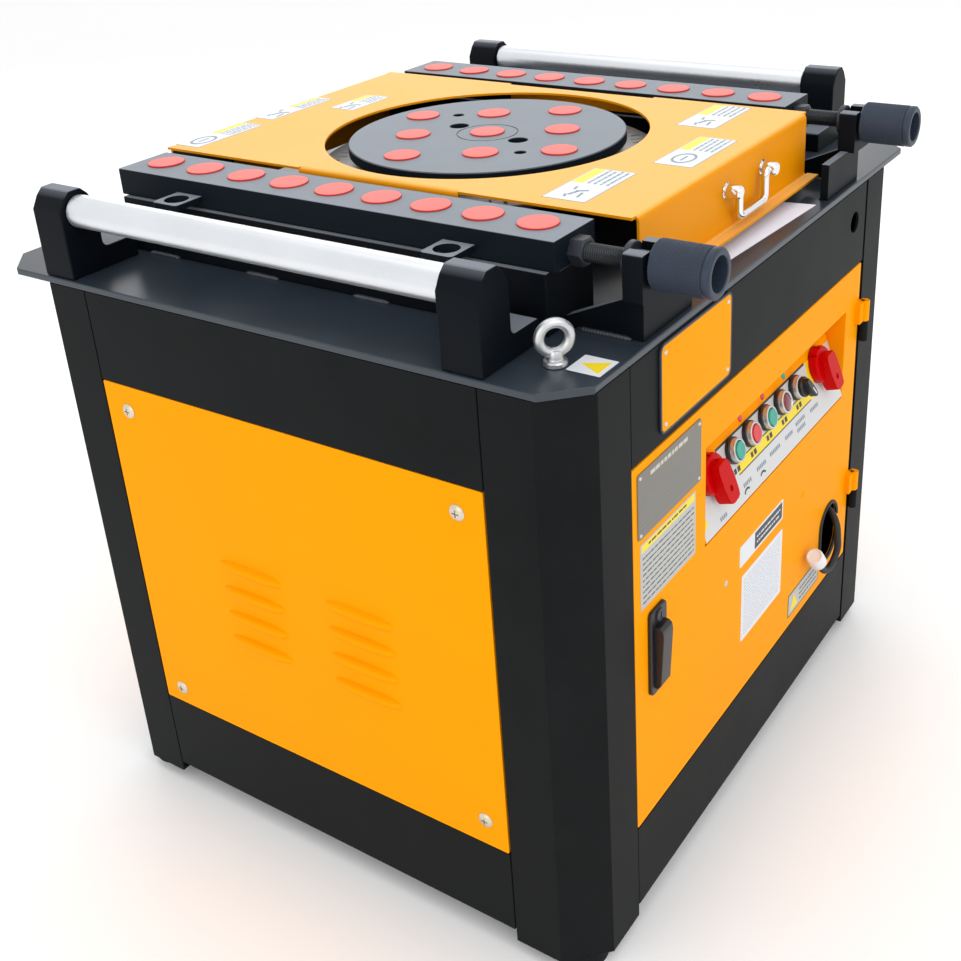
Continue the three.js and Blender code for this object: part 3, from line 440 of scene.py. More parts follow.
def room():
    white = finish_of("floor_white", None, (0.97, 0.97, 0.97), 0.9, specular=0.1, vary=0.01, patch=0.8,
                      bump=0.02)
    floor = new_object("floor", block(-8000, 8000, -8000, 8000, -790, -742))
    floor.data.materials.append(white)
    world = bpy.data.worlds.new("sky")
    world.use_nodes = True
    back = world.node_tree.nodes["Background"]
    back.inputs["Color"].default_value = (1, 1, 1, 1)
    back.inputs["Strength"].default_value = 1.0
    scene.world = world
    scene.view_settings.view_transform = "Standard"
    area_light("key", (-1.6, -3.2, 3.4), (0, 0, 0.5), (2.6, 2.6), 34)
    area_light("top", (0.2, 0.2, 3.6), (0, 0, 0.6), (3.0, 3.0), 16)
    area_light("glare", (3.4, 2.6, 2.3), (0, 0, 0.8), (3.6, 2.0), 30)
    area_light("left", (-3.6, -0.2, 1.4), (0, 0, 0.4), (2.2, 2.0), 12)


room()


# ---- CAD parts that keep their shape: painted sheet, castings and shafts ----
def dress(name, material, edge=0.8, angle=28):
    node = nodes[name]
    for spot in node.material_slots:
        spot.material = material
    if not node.material_slots:
        node.data.materials.append(material)
    weld = node.modifiers.new("weld", "WELD")
    weld.merge_threshold = 1e-5
    soften(node, edge, 2, angle)


def cabinet():
    for name in nodes:
        if name.startswith(("corner_post_", "upper_apron_", "lower_apron_")):
            dress(name, BLACK, 1.2 if name.startswith("corner") else 0.8)
    dress("table_plate", TABLE_BLACK, 1.5)
    dress("floor_pan", BLACK, 0.8)
    dress("rear_panel", YELLOW, 0.9)
    dress("electrical_box", BOX_PAINT, 3)
    for name in ("motor", "gear_case", "main_gear", "pinion_shaft", "large_pulley", "motor_pulley",
                 "main_shaft"):
        dress(name, CAST, 0.8, 35)
    dress("drive_belt", RUBBER, 0.5)


# table_paint: black paint lifted lighter and bluer, as painted sky reflection across the table top
TABLE_BLACK = finish_of("table_paint", None, (0.024, 0.034, 0.047), 0.32, specular=0.5, vary=0.2, patch=9.0)
cabinet()

X0, X1, Y0, Y1 = -437, 424, -385.5, 376      # the cabinet's faces
HINGE_X, HINGE_Y, HINGE_Z = 317, -392.3, (-193, -463)      # the door's pins
SCREW_Z = 79      # height of the adjusting screws


def screw_head(name, where, axis, body, r=9.5):
    """Cross-head screw with a domed head, standing out of a face along an axis."""
    dome = [(0, -1), (r, -1), (r, 0.8), (r * 0.92, 1.8), (r * 0.7, 2.9), (r * 0.4, 3.5), (0, 3.7)]
    turn = Vector((0, 0, 1)).rotation_difference(Vector(axis)).to_matrix().to_4x4()
    at = Matrix.Translation(where) @ turn
    cross = [moved(block(-a, a, -b, b, 1.4, 6), at) for a, b in ((r * 0.45, 0.9), (0.9, r * 0.45))]
    piece(name, turned(dome, where, axis, 28), body, NICKEL, 0.2, 1, cuts=cross)


def louvre(x, y, z, out, steps_u=28, steps_v=12):
    """A pressed louvre: a long blister, steep along its upper edge."""
    verts, faces = [], []
    for i in range(steps_u + 1):
        u = -1 + 2 * i / steps_u
        for j in range(steps_v + 1):
            v = -1 + 2 * j / steps_v
            long = max(1 - abs(u) ** 3.2, 0) ** 0.55
            across = max(1 - abs(v - 0.3 * (1 - v * v)) ** 2.0, 0) ** 0.9
            rim = 8.5 * (0.35 + 0.65 * long)
            verts.append((x + out * (8 * long * across - 0.05), y + 49 * u, z + rim * v))
    for i in range(steps_u):
        for j in range(steps_v):
            a = i * (steps_v + 1) + j
            faces.append((a, a + 1, a + steps_v + 2, a + steps_v + 1))
    back = len(verts)
    ring = [i * (steps_v + 1) for i in range(steps_u + 1)]
    ring += [steps_u * (steps_v + 1) + j for j in range(1, steps_v + 1)]
    ring += [i * (steps_v + 1) + steps_v for i in range(steps_u - 1, -1, -1)]
    ring += [j for j in range(steps_v - 1, 0, -1)]
    for k in ring:
        verts.append((x - out * 1.5, *verts[k][1:]))
    n = len(ring)
    faces += [(ring[k], ring[(k + 1) % n], back + (k + 1) % n, back + k) for k in range(n)]
    faces.append(tuple(back + k for k in range(n)))
    return verts, faces


def louvred_panel(name, x, out):
    lo, hi = sorted((x, x - out * 4))
    y0, y1 = Y0 + 106.5, Y1 - 106.5
    sheet = prism(rounded(y0, y1, -589, -121, 2, 3), lo, hi, "x")
    blisters = [louvre(x, y, z, out) for y in (70, -95) for z in (-331, -367, -403, -439)]
    piece(name, sheet, "cabinet", YELLOW, 0.7, joins=blisters, stands_for=(name,), sharp=50)
    for i, (y, z) in enumerate(((233, -154), (-246, -153), (237, -564), (-250, -553))):
        screw_head(f"{name}_screw_{i}", (x, y, z), (out, 0, 0), "cabinet")


louvred_panel("left_panel", X0, -1)
louvred_panel("right_panel", X1, 1)
for n, (x, z) in enumerate(((-300, -154), (286, -154), (-300, -556), (286, -556))):
    screw_head(f"rear_panel_screw_{n}", (x, Y1, z), (0, 1, 0), "cabinet")


def name_plate():
    outline = rounded(-274, -109, -110, -10, 9)
    piece("name_plate_sheet", prism(outline, -387.8, -385.8, "y"), "cabinet", YELLOW,
          0.6, stands_for=("name_plate",))
    border = prism(rounded(-274.3, -108.7, -110.3, -9.7, 9.3), -388.0, -385.9, "y")
    window = prism(rounded(-271.6, -111.4, -107.6, -12.4, 6.6), -389, -385, "y")
    piece("name_plate_border", border, "cabinet", INK, 0.2, 1, cuts=[window], slot="black_paint")
    for i, (x, z) in enumerate(((-264, -100), (-119, -100), (-264, -20), (-119, -20))):
        head = turned([(0, 0), (2.6, 0), (2.2, 0.9), (0, 1.3)], (x, -387.9, z), (0, -1, 0), 20)
        piece(f"name_plate_rivet_{i}", head, "cabinet", ZINC, 0)


name_plate()


# ---- lifting eye bolts ----
def ring_mesh(centre, r, tube_r, turn, steps=56, sides=20):
    verts, faces = [], []
    spin = Matrix.Rotation(radians(turn), 3, "Z")
    for i in range(steps):
        a = 2 * pi * i / steps
        for j in range(sides):
            b = 2 * pi * j / sides
            rr = r + tube_r * cos(b)
            point = Vector((rr * cos(a), tube_r * sin(b), rr * sin(a)))
            verts.append(spin @ point + Vector(centre))
    for i in range(steps):
        for j in range(sides):
            a, b = i * sides + j, i * sides + (j + 1) % sides
            c, d = ((i + 1) % steps) * sides + (j + 1) % sides, ((i + 1) % steps) * sides + j
            faces.append((a, b, c, d))
    return verts, faces


def eye_bolt(name, x, y):
    ring = ring_mesh((x, y, 28), 15.2, 5.3, -42)
    stem = turned([(0, 0.3), (11.4, 0.3), (12, 1), (12, 4.6), (11, 6), (8.6, 6.8), (8, 8.6), (8, 12.5),
                   (6.5, 16), (0, 17)], (x, y, 0), steps=40)
    piece(f"{name}_ring", ring, "cabinet", ZINC, 0.8, 3, joins=[stem], stands_for=(name,))


eye_bolt("eye_bolt_front", -374, -329)
eye_bolt("eye_bolt_rear", 428, 372)


# ---- rollers ----
def roller(side, x):
    y0, y1 = -239, 289
    # along the roller, from the front journal to the rear one
    line = [(3, y0 - 20), (7.4, y0 - 20), (8, y0 - 19.4), (8, y0 + 1.2), (15.6, y0 + 1.2), (16, y0 + 1.6),
            (18.2, y0 + 1.6),
            (19, y0 + 2.6), (19, y1 - 2.6), (18.2, y1 - 1.6), (16, y1 - 1.6), (15.6, y1 - 1.2), (8, y1 - 1.2),
            (8, y1 + 19.4), (7.4, y1 + 20), (3, y1 + 20)]
    tube_shape = turned(line, (x, 0, 78), (0, 1, 0), 72, closed=True)
    piece(f"roller_{side}_tube", tube_shape, f"roller_{side}_body", ROLLER, 0.2, 1,
          stands_for=(f"roller_{side}",))


def bracket(name, x, out, y0, inward):
    """A cast block with a chamfered top and a blind bore that opens towards the roller."""
    at = lambda d: x + out * d
    fillet = [(at(-32 + 7 * cos(a)), 33.5 - 7 * sin(a)) for a in (0, 0.4, 0.8, 1.2, pi / 2)]
    outline = [(at(25), 0.3), (at(25), 81), (at(16.5), 95), (at(8), 103), (at(-8), 103), (at(-16.5), 95),
               (at(-25), 81)]
    outline += fillet + [(at(-70), 26.5), (at(-73), 23.5), (at(-73), 0.3)]
    low, high = (y0 + 28, y0 + 51) if inward > 0 else (y0 - 2, y0 + 21)
    bore = turned([(0, low), (8.4, low), (8.4, high), (0, high)], (x, 0, 78), (0, 1, 0), 40)
    piece(f"{name}_block", prism(outline, y0, y0 + 49, "y"), "cabinet", TOOLING_BLACK, 1.6, 3,
          cuts=[bore], stands_for=(name,))


for side, x, out in (("left", -409, -1), ("right", 459, 1)):
    roller(side, x)
    bracket(f"roller_bracket_{side}_front", x, out, -288, 1)
    bracket(f"roller_bracket_{side}_rear", x, out, 289, -1)


# ---- tooling rails with their plugs, screws and bases ----
def plug_shape(x, y, z, tilt=(0, 0)):
    profile = [(0, -1), (21.6, -1), (22, 0.2), (22, 1.3), (21.5, 2.0), (20.4, 2.3), (12, 2.45), (0, 2.5)]
    return turned(profile, (x, y, z), Vector((tilt[0], tilt[1], 1)).normalized(), 56)


def nut(x, y0, y1, z, across):
    r = across / sqrt(3)
    hexagon = [(x + r * cos(radians(a)), z + r * sin(radians(a))) for a in range(0, 360, 60)]
    return prism(hexagon, y0, y1, "y")


def rail(side, s):
    body = f"rail_{side}_body"
    x0, x1 = sorted((s * 241, s * 318))
    bar = prism(rounded(x0, x1, 67, 99, 1.2, 2), -297, 321, "y")
    lugs, holes = [], []
    for y in (-183, 203):
        a, b = sorted((s * 314, s * 358))
        lugs.append(prism(rounded(a, b, y - 20, y + 20, 5, 4), 75, 82))
        holes.append(turned([(0, 70), (14, 70), (14, 90), (0, 90)], (s * 338, y, 0), steps=48))
    bore = turned([(0, -300), (10.4, -300), (10.4, -177), (0, -177)], (s * 280, 0, SCREW_Z), (0, 1, 0), 32)
    piece(f"rail_{side}_bar", bar, body, TOOLING, 0.9, 2, joins=lugs, cuts=holes + [bore],
          stands_for=(f"rail_{side}",))
    for i in range(9):
        tilt = (draw.uniform(-0.012, 0.012), draw.uniform(-0.012, 0.012))
        plug = plug_shape(s * 277, -253.2 + 66.9 * i, 99, tilt)
        piece(f"rail_{side}_plug_{i}", plug, body, PLUG, 0, sharp=50)
    chamfer = turned([(0, -317), (12.6, -313.2), (16.4, -310.4), (16.4, -296), (0, -296)],
                     (s * 280, 0, SCREW_Z), (0, 1, 0), 48)
    hexagon = new_object(f"rail_{side}_nut", nut(s * 280, -313, -296, SCREW_Z, 28))
    carve(hexagon, chamfer, "INTERSECT")
    thread = turned([(0, -320), (10.4, -320), (10.4, -290), (0, -290)], (s * 280, 0, SCREW_Z), (0, 1, 0), 32)
    piece(f"rail_{side}_nut", hexagon, body, DARK_STEEL, 0.4, cuts=[thread])


def skin(rows):
    """Surface through rows of points, each row a closed loop, with both ends capped."""
    n = len(rows[0])
    verts = [p for row in rows for p in row]
    faces = []
    for i in range(len(rows) - 1):
        faces += [(i * n + k, i * n + (k + 1) % n, (i + 1) * n + (k + 1) % n, (i + 1) * n + k)
                  for k in range(n)]
    faces += [tuple(range(n))[::-1], tuple(range((len(rows) - 1) * n, len(rows) * n))]
    return verts, faces


def ring_row(x, y, z, r, steps, bump=None):
    row = []
    for k in range(steps):
        a = 2 * pi * k / steps
        rr = r + (bump(a, y) if bump else 0)
        row.append((x + rr * cos(a), y, z + rr * sin(a)))
    return row


def adjusting_screw(side, x):
    z, body = SCREW_Z, f"screw_{side}_body"

    def thread(a, y):
        phase = (y / 2.5 + a / (2 * pi)) % 1
        return -1.25 * abs(2 * phase - 1)

    rows = [ring_row(x, -359, z, 9, 40)] + [
        ring_row(x, -358 + 0.3125 * i, z, 10, 40, thread) for i in range(172)]
    rows += [ring_row(x, -303.5, z, 8.9, 40), ring_row(x, -240, z, 8.9, 40), ring_row(x, -237, z, 7.5, 40)]
    piece(f"screw_{side}_rod", skin(rows), body, THREAD, 0, sharp=80)
    collar = turned([(0, -364.7), (18.2, -364.7), (19, -363.9), (19, -358.8), (18.2, -358), (0, -358)],
                    (x, 0, z), (0, 1, 0), 64)
    piece(f"screw_{side}_collar", collar, body, DARK_STEEL, 0)
    neck = turned([(0, -390), (11.2, -390), (11.2, -364), (0, -364)], (x, 0, z), (0, 1, 0), 40)
    piece(f"screw_{side}_neck", neck, body, DARK_STEEL, 0)

    def knurl(a, y):
        turns, pitch = 44, 3.64
        u = (a / (2 * pi) * turns + y / pitch) % 1
        v = (a / (2 * pi) * turns - y / pitch) % 1
        return 0.1 - 1.1 * max(abs(2 * u - 1), abs(2 * v - 1)) ** 2.2

    steps = 264
    rows = [ring_row(x, -389, z, r, steps) for r in (0.5, 23.6)] + [ring_row(x, -390.6, z, 25.0, steps)]
    rows += [ring_row(x, -391 - 0.8 * i, z, 25.4, steps, knurl) for i in range(66)]
    rows += [ring_row(x, y, z, r, steps) for y, r in (
        (-443.8, 24.9), (-444.3, 23.9), (-445.4, 23.9), (-445.9, 25.2), (-451.2, 25.3), (-453, 23.4),
        (-453, 18.6), (-452, 17.5), (-405.4, 17.5), (-405, 17.0), (-405, 0.5))]
    piece(f"screw_{side}_knob", skin(rows), body, KNURL, 0, stands_for=(f"adjusting_screw_{side}",), sharp=60)


def weld_bead(name, start, end, r=3.4):
    """A rippled fillet of weld metal from one point to another."""
    a, b = Vector(start), Vector(end)
    way = (b - a).normalized()
    side = way.cross(Vector((0, 0, 1))).normalized()
    up = side.cross(way)
    length = (b - a).length
    count = max(int(length / 0.8), 6)
    rows = []
    for i in range(count + 1):
        t = i / count
        swell = 1 + 0.07 * sin(t * length / 1.7 * pi) + draw.uniform(-0.03, 0.03)
        ends = min(1, 0.35 + 6 * t, 0.35 + 6 * (1 - t))
        wide, tall = r * swell * ends, r * 0.85 * swell * ends
        rows.append([a + way * (t * length) + side * (wide * cos(q)) + up * (tall * sin(q))
                     for q in (2 * pi * k / 14 for k in range(14))])
    piece(name, skin(rows), "cabinet", WELD, 0, sharp=70)


def rail_base(side, s):
    cx = s * 280
    x0, x1 = sorted((s * 235, s * 324))
    base = block(x0, x1, -290, 314, 0.3, 66.7)
    relief = block(cx - 18, cx + 18, -292, -260, 61, 68)
    piece(f"rail_base_{side}_block", base, "cabinet", TOOLING_BLACK, 1.2, 2, cuts=[relief])
    horns = prism(rounded(cx - 28, cx + 28, 44, 95, 4, 4), -387, -365, "y")
    inner, outer = (cx - 12, cx + 92) if s < 0 else (cx - 92, cx + 12)
    plate = block(inner, outer, -379, -369, 0.3, 46)
    gusset = prism([(-291, 0.3), (-291, 12), (-367, 46), (-378, 46), (-378, 0.3)], cx - 12, cx, "x")
    throat = [(cx - 12, 100), (cx - 12, SCREW_Z)] + arc(cx, SCREW_Z, 12, 180, 360, 24)[1:-1]
    throat += [(cx + 12, SCREW_Z), (cx + 12, 100)]
    piece(f"rail_base_{side}_yoke", horns, "cabinet", TOOLING_BLACK, 1.0, 2, joins=[plate, gusset],
          cuts=[prism(throat, -390, -362, "y")], stands_for=(f"rail_base_{side}",))
    weld_bead(f"yoke_{side}_weld_gusset", (cx - 13, -304, 1), (cx - 13, -366, 1))
    weld_bead(f"yoke_{side}_weld_plate", (inner + 2, -368, 1), (outer - 2, -368, 1))
    for i in range(4):
        y = -250 + i * 160
        weld_bead(f"rail_base_{side}_weld_{i}", (s * 325, y, 1), (s * 325, y + 50, 1))


THREAD = finish_of("thread_steel", "blackened_steel", (0.022, 0.026, 0.03), 0.34, metallic=0.4, vary=0.2)
WELD = finish_of("weld_paint", "black_paint", (0.03, 0.036, 0.046), 0.3, specular=0.6, vary=0.3, patch=90.0,
                 bump=0.5)
for side, s in (("left", -1), ("right", 1)):
    rail(side, s)
    adjusting_screw(side, s * 280)
    rail_base(side, s)


# ---- disc and angle ring ----
def disc():
    rim = [(0, 67.3), (109, 67.3), (110, 68.3), (110, 82), (173.6, 82), (175, 83.4), (175, 94.8), (173.8, 96),
           (39.3, 96), (39.0, 95.2), (37.9, 95.2), (37.6, 96), (0, 96)]
    holes = []
    for angle, reach, r in ((76, 55, 12), (255, 58, 12), (56, 105, 7), (236, 107, 7)):
        a = radians(angle)
        holes.append(turned([(0, 87), (r, 87), (r, 95.2), (r + 0.9, 96.2), (r + 0.9, 98), (0, 98)],
                            (reach * cos(a), reach * sin(a), 0), steps=48))
    piece("disc_plate", turned(rim, steps=180), "disc_body", TOOLING, 0, cuts=holes,
          stands_for=("turning_disc",))
    turn = Matrix.Rotation(radians(29.5), 4, "Z")
    for i in range(-1, 2):
        for j in range(-1, 2):
            spot = turn @ Vector((i * 94.4, j * 94.4, 96))
            piece(f"disc_plug_{i + 1}_{j + 1}", plug_shape(*spot), "disc_body", PLUG, 0, sharp=50)


def angle_ring():
    profile = [(50, 62), (213.4, 62), (214, 62.6), (214, 66.4), (213.4, 67), (50, 67)]
    slots = [spun(prism(rounded(192, 206, -2.25, 2.25, 2.2, 4), 60, 69), i * 20) for i in range(18)]
    marks = [spun(block(186, 200, -1.3, 1.3, 60, 69), i * 5) for i in range(72) if i % 4]
    bolts = [turned([(0, 60), (6, 60), (6, 69), (0, 69)], (90 * cos(a), 90 * sin(a), 0), steps=24)
             for a in (radians(q) for q in (45, 135, 225, 315))]
    piece("angle_ring_plate", turned(profile, steps=144, closed=True), "disc_body", RING, 0,
          cuts=[together(*slots, *marks, *bolts)], stands_for=("angle_ring",))


disc()
angle_ring()


# ---- top cover and its drop handle ----
def cover():
    main = prism(folded([(344, 16), (344, 98), (-333, 98), (-333, 19), (-349, 19)], 3, 7, 8), -214, 224, "x")
    edges = [block(-222, -213, -329, 340, 95, 98), block(223, 232, -329, 340, 95, 98),
             block(220, 232, -349, -334, 16, 19)]
    tabs = [prism(folded([(232, 74), (232, 98), (216, 98)], 3, 7, 8), -114, 118, "y"),
            prism(folded([(-206, 98), (-222, 98), (-222, 74)], 3, 7, 8), -114, 118, "y")]
    opening = turned([(0, 90), (204, 90), (204, 102), (0, 102)], steps=180)
    shape = new_object("cover_sheet", main)
    for edge in edges:
        carve(shape, edge, "UNION")
    carve(shape, block(225, 240, -114, 118, 70, 105))
    carve(shape, block(-240, -215, -114, 118, 70, 105))
    for tab in tabs:
        carve(shape, tab, "UNION")
    carve(shape, opening)
    piece("cover_sheet", shape, "cover_body", COVER, 0.6, 2, stands_for=("top_cover",), sharp=32)
    # black plates inside the cover's rear ends: painted shade, dark sheets where the cover's inside lies in
    # shadow
    for name, x0, x1 in (("left", -213.5, -210.5), ("right", 220.5, 223.5)):
        piece(f"cover_shade_plate_{name}", block(x0, x1, 236, 341.2, 16, 95.2), "cover_body", BLACK, 0.5)
    for name, x in (("left", -12), ("right", 88)):
        line = [(0, -332), (9.4, -332), (9.4, -334.2), (7.2, -335), (7.2, -336), (8, -337.5), (8, -351.2),
                (6.6, -353), (0, -353)]
        piece(f"handle_standoff_{name}", turned(line, (x, 0, 66), (0, 1, 0), 40), "cover_body", CHROME, 0)


def drop_handle():
    y, z, low, bend = -344, 66, 32, 7
    left, both = 2, 76      # the left leg, and the two legs' places added up
    line = [(-23, z), (-12, z)]
    line += arc(left - bend, z - bend, bend, 90, 0)
    line += arc(left + bend, low + bend, bend, 180, 270)
    other = [(both - px, pz) for px, pz in line][::-1]
    points = [(px, y, pz) for px, pz in line + other]
    tube("drop_handle_bar", points, 4.5, "cover_bail", CHROME, ("cover_handle",))


# ---- labels: plain sheets with bars where the machine has print ----
def sheet_on_top(name, x0, x1, y0, y1, z, body, material, thick=0.25):
    piece(name, prism(rounded(x0, x1, y0, y1, 1.5, 3), z - 0.2, z + thick), body, material, 0)


def sheet_on_front(name, x0, x1, z0, z1, y, body, material, thick=0.3, r=1.5):
    piece(name, prism(rounded(x0, x1, z0, z1, r, 3), y - thick, y + 0.2, "y"), body, material, 0)


def print_rows(u0, u1, v0, v1, rows):
    """Short bars in rows, as unreadable print: each one's ends, its lower edge and the rows' spacing."""
    step = (v1 - v0) / rows
    for i in range(rows):
        u = u0
        while u < u1 - 2:
            end = min(u + draw.uniform(3, 11), u1)
            yield u, end, v0 + (i + 0.3) * step, step
            u = end + draw.uniform(1.2, 2.5)


def lines_on_top(name, x0, x1, y0, y1, z, rows, body):
    bars = [block(a, b, y, y + step * 0.38, z, z + 0.12)
            for a, b, y, step in print_rows(x0, x1, y0, y1, rows)]
    piece(name, together(*bars), body, INK_GREY, 0)


def lines_on_front(name, x0, x1, z0, z1, y, rows, body, material=INK_GREY, fill=0.38):
    bars = [block(a, b, y - 0.12, y, z, z + step * fill)
            for a, b, z, step in print_rows(x0, x1, z0, z1, rows)]
    piece(name, together(*bars), body, material, 0)


def cover_label(name, x0, x1, y0, y1, shape):
    z = 98.25
    body = "cover_body"
    sheet_on_top(f"{name}_edge", x0, x1, y0, y1, 98, body, INK_GREY, 0.15)
    sheet_on_top(f"{name}_sheet", x0 + 1, x1 - 1, y0 + 1, y1 - 1, 98, body, PAPER, 0.25)
    split = x0 + (x1 - x0) * 0.5
    sheet_on_top(f"{name}_band", split + 2, x1 - 2, y1 - (y1 - y0) * 0.3, y1 - 2, 98, body, INK_YELLOW, 0.33)
    lines_on_top(f"{name}_print", split + 3, x1 - 3, y0 + 4, y1 - (y1 - y0) * 0.34, z, 4, body)
    piece(f"{name}_sign", shape((x0 + split) / 2, (y0 + y1) / 2, z), body, INK_GREY, 0)


def sign_ring(x, y, z):
    return together(
        moved(turned([(10, 0), (12.5, 0), (12.5, 0.14), (10, 0.14)], steps=40, closed=True),
              Matrix.Translation((x, y, z)) @ Matrix.Diagonal((1.6, 1.1, 1, 1))),
        block(x - 9, x + 9, y - 1.3, y + 1.3, z, z + 0.14))


def sign_blocks(x, y, z):
    return together(*[moved(block(-w / 2, w / 2, -h / 2, h / 2, 0, 0.14),
                            Matrix.Translation((x + dx, y + dy, z)) @ Matrix.Rotation(t, 4, "Z"))
                      for dx, dy, w, h, t in ((-14, 6, 9, 3, 0.4), (-4, 2, 14, 4, -0.3), (6, -4, 4, 14, 0.5),
                                              (12, 8, 10, 3, 0.2), (-8, -9, 16, 3, 0.15))])


cover()
drop_handle()
cover_label("label_front_left", -200, -86, -261, -207, sign_blocks)
cover_label("label_front_middle", -44, 77, -307, -257, sign_ring)
cover_label("label_front_right", 114, 224, -259, -206, sign_blocks)
cover_label("label_rear_left", -208, -90, 300, 340, sign_ring)
cover_label("label_rear_middle", -64, 60, 308, 340, sign_blocks)
cover_label("label_rear_right", 18, 99, 236, 277, sign_blocks)
paper = prism([(161, -327), (168, -372), (-55, -358), (-22, -329)], 0.02, 0.5)
piece("table_paper", paper, "cabinet", SHEET, 0)
piece("table_label_edge", prism(rounded(-381, -340, -382, -341, 2), 0, 0.3), "cabinet", INK, 0)
piece("table_label_sheet", prism(rounded(-379, -342, -380, -343, 1.5), 0, 0.45), "cabinet", PAPER, 0)
piece("table_label_sign", prism([(-374, -375), (-347, -375), (-360.5, -349)], 0.3, 0.6), "cabinet",
      INK_YELLOW, 0)


# ---- door, hinges and latch ----
def door():
    y = Y0
    sheet = prism(rounded(-332, 311, -588, -122, 2.5, 3), y, y + 3, "y")
    wall = [(y + 2.5, -305.5), (y + 2.5, -174.5), (y + 42.5, -174.5), (y + 42.5, -181)]
    pocket = prism(wall, -167.5, 265.5, "x")
    room_inside = [(y - 1, -304), (y - 1, -177), (y + 40, -177), (y + 48, -178), (y + 3, -308)]
    hollow = prism(room_inside, -165, 263, "x")
    oval = prism([(237 + 31 * cos(a), -509 + (14 if sin(a) >= 0 else -14) + 31 * sin(a))
                  for a in (2 * pi * k / 64 for k in range(64))], y - 5, y + 8, "y")
    leaves = [block(297, 317, y - 7.8, y + 1, z - 15, z + 15) for z in HINGE_Z]
    piece("door_sheet", sheet, "door_body", YELLOW, 0.7, 2, joins=[pocket] + leaves, cuts=[hollow, oval],
          stands_for=("front_door",))
    rim = []
    for k in range(73):
        a = 2 * pi * k / 72
        rim.append((237 + 31.5 * cos(a), y - 0.6, -509 + (14 if sin(a) >= 0 else -14) + 31.5 * sin(a)))
    tube("door_grommet", rim, 2.6, "door_body", RUBBER)
    for i, (x, z) in enumerate(((133, -393), (-108, -390))):
        head = turned([(0, -1), (4.4, -1), (4.2, 0.6), (2.6, 1.5), (0, 1.8)], (x, y, z), (0, -1, 0), 28)
        piece(f"door_rivet_{i}", head, "door_body", YELLOW if i == 0 else BEZEL, 0)
    for i, z in enumerate(HINGE_Z):
        knuckle = [(3.3, z - 14.6), (6.0, z - 15), (6.5, z - 14.2), (6.5, z + 14.4), (5.8, z + 15),
                   (0, z + 15), (0, z + 11), (3.3, z + 11)]
        piece(f"door_knuckle_{i}", turned(knuckle, (HINGE_X, HINGE_Y, 0), steps=36, closed=True), "door_body",
              YELLOW, 0)


def post_hinge(name, z):
    low, high = z - 15.3 - 30, z - 15.3
    barrel = [(0, low), (5.8, low), (6.5, low + 0.7), (6.5, high - 0.5), (6.1, high), (3, high),
              (3, high + 24), (0, high + 24)]
    piece(f"{name}_barrel", turned(barrel, (HINGE_X, HINGE_Y, 0), steps=36), "cabinet", BLACK, 0.2, 1,
          joins=[block(318.5, 333, -393.3, -385.8, low, high)], stands_for=(name,))


def latch():
    shell = prism(rounded(-304, -268, -420, -310, 6, 6), -390.2, -384.6, "y")
    piece("latch_housing", shell, "door_body", MOULDED, 1.4, 3)
    y = -389.8
    outline = [(y, -330), (y - 7, -330), (y - 10.4, -333), (y - 11.7, -340), (y - 8, -406), (y - 5, -411),
               (y - 1, -412), (y, -411)]
    piece("latch_lever", prism(outline, -297, -275, "x"), "latch_body", MOULDED, 2.2, 3,
          stands_for=("latch_paddle",))
    lock = [(0, -1), (8, -1), (8, 1.6), (7.2, 2.4), (0, 2.4)]
    piece("latch_lock", turned(lock, (-286, -390.2, -319.5), (0, -1, 0), 32), "door_body", DARK_STEEL, 0,
          cuts=[block(-287, -285, -396, -391.4, -324, -315)], slot="black_plastic")


def door_labels():
    y, body = Y0, "door_body"
    sheet_on_front("data_plate_metal", -323, -180, -209, -132, y - 0.3, body, ETCHED, 1.0, 3)
    lines_on_front("data_plate_marks", -316, -187, -204, -150, y - 1.3, 9, body, INK_GREY, fill=0.10)
    lines_on_front("data_plate_title", -296, -210, -146, -138, y - 1.3, 1, body, ETCHED_LIGHT, 0.6)
    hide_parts("data_plate")
    for i, (x, z) in enumerate(((-318, -204), (-185, -204), (-318, -137), (-185, -137))):
        head = turned([(0, 0), (2.3, 0), (2.0, 0.8), (0, 1.1)], (x, y - 1.3, z), (0, -1, 0), 20)
        piece(f"data_plate_rivet_{i}", head, body, BEZEL, 0)
    sheet_on_front("safety_label", -318, -191, -298, -217, y, body, PALE_GREY, 0.3)
    sheet_on_front("safety_label_head", -315, -194, -228, -219, y, body, INK_YELLOW, 0.4, 1)
    lines_on_front("safety_label_rows", -313, -195, -294, -232, y - 0.3, 9, body, INK, fill=0.24)
    lines_on_front("safety_label_title", -300, -210, -226, -221, y - 0.4, 1, body, INK, fill=0.5)
    sheet_on_front("mark_label", -68, 64, -393, -363, y, body, PAPER, 0.3)
    sheet_on_front("mark_label_block", -24, 61, -390, -366, y, body, INK, 0.36, 1)
    lines_on_front("mark_label_bars", -18, 55, -386, -370, y - 0.36, 2, body, PAPER, 0.3)
    sheet_on_front("notice_sheet", -61, 65, -508, -409, y, body, PAPER, 0.4)
    lines_on_front("notice_rows", -54, 58, -502, -415, y - 0.4, 17, body, INK_PALE, 0.3)
    sheet_on_front("low_label_edge", 96, 206, -573, -536, y, body, INK, 0.2, 2)
    sheet_on_front("low_label", 98, 204, -571, -538, y, body, PALE_GREY, 0.32, 1.5)
    piece("low_label_sign", prism([(104, -566), (130, -566), (117, -543)], y - 0.5, y, "y"), body, INK_YELLOW,
          0)
    lines_on_front("low_label_rows", 136, 198, -567, -543, y - 0.32, 3, body, INK, fill=0.3)


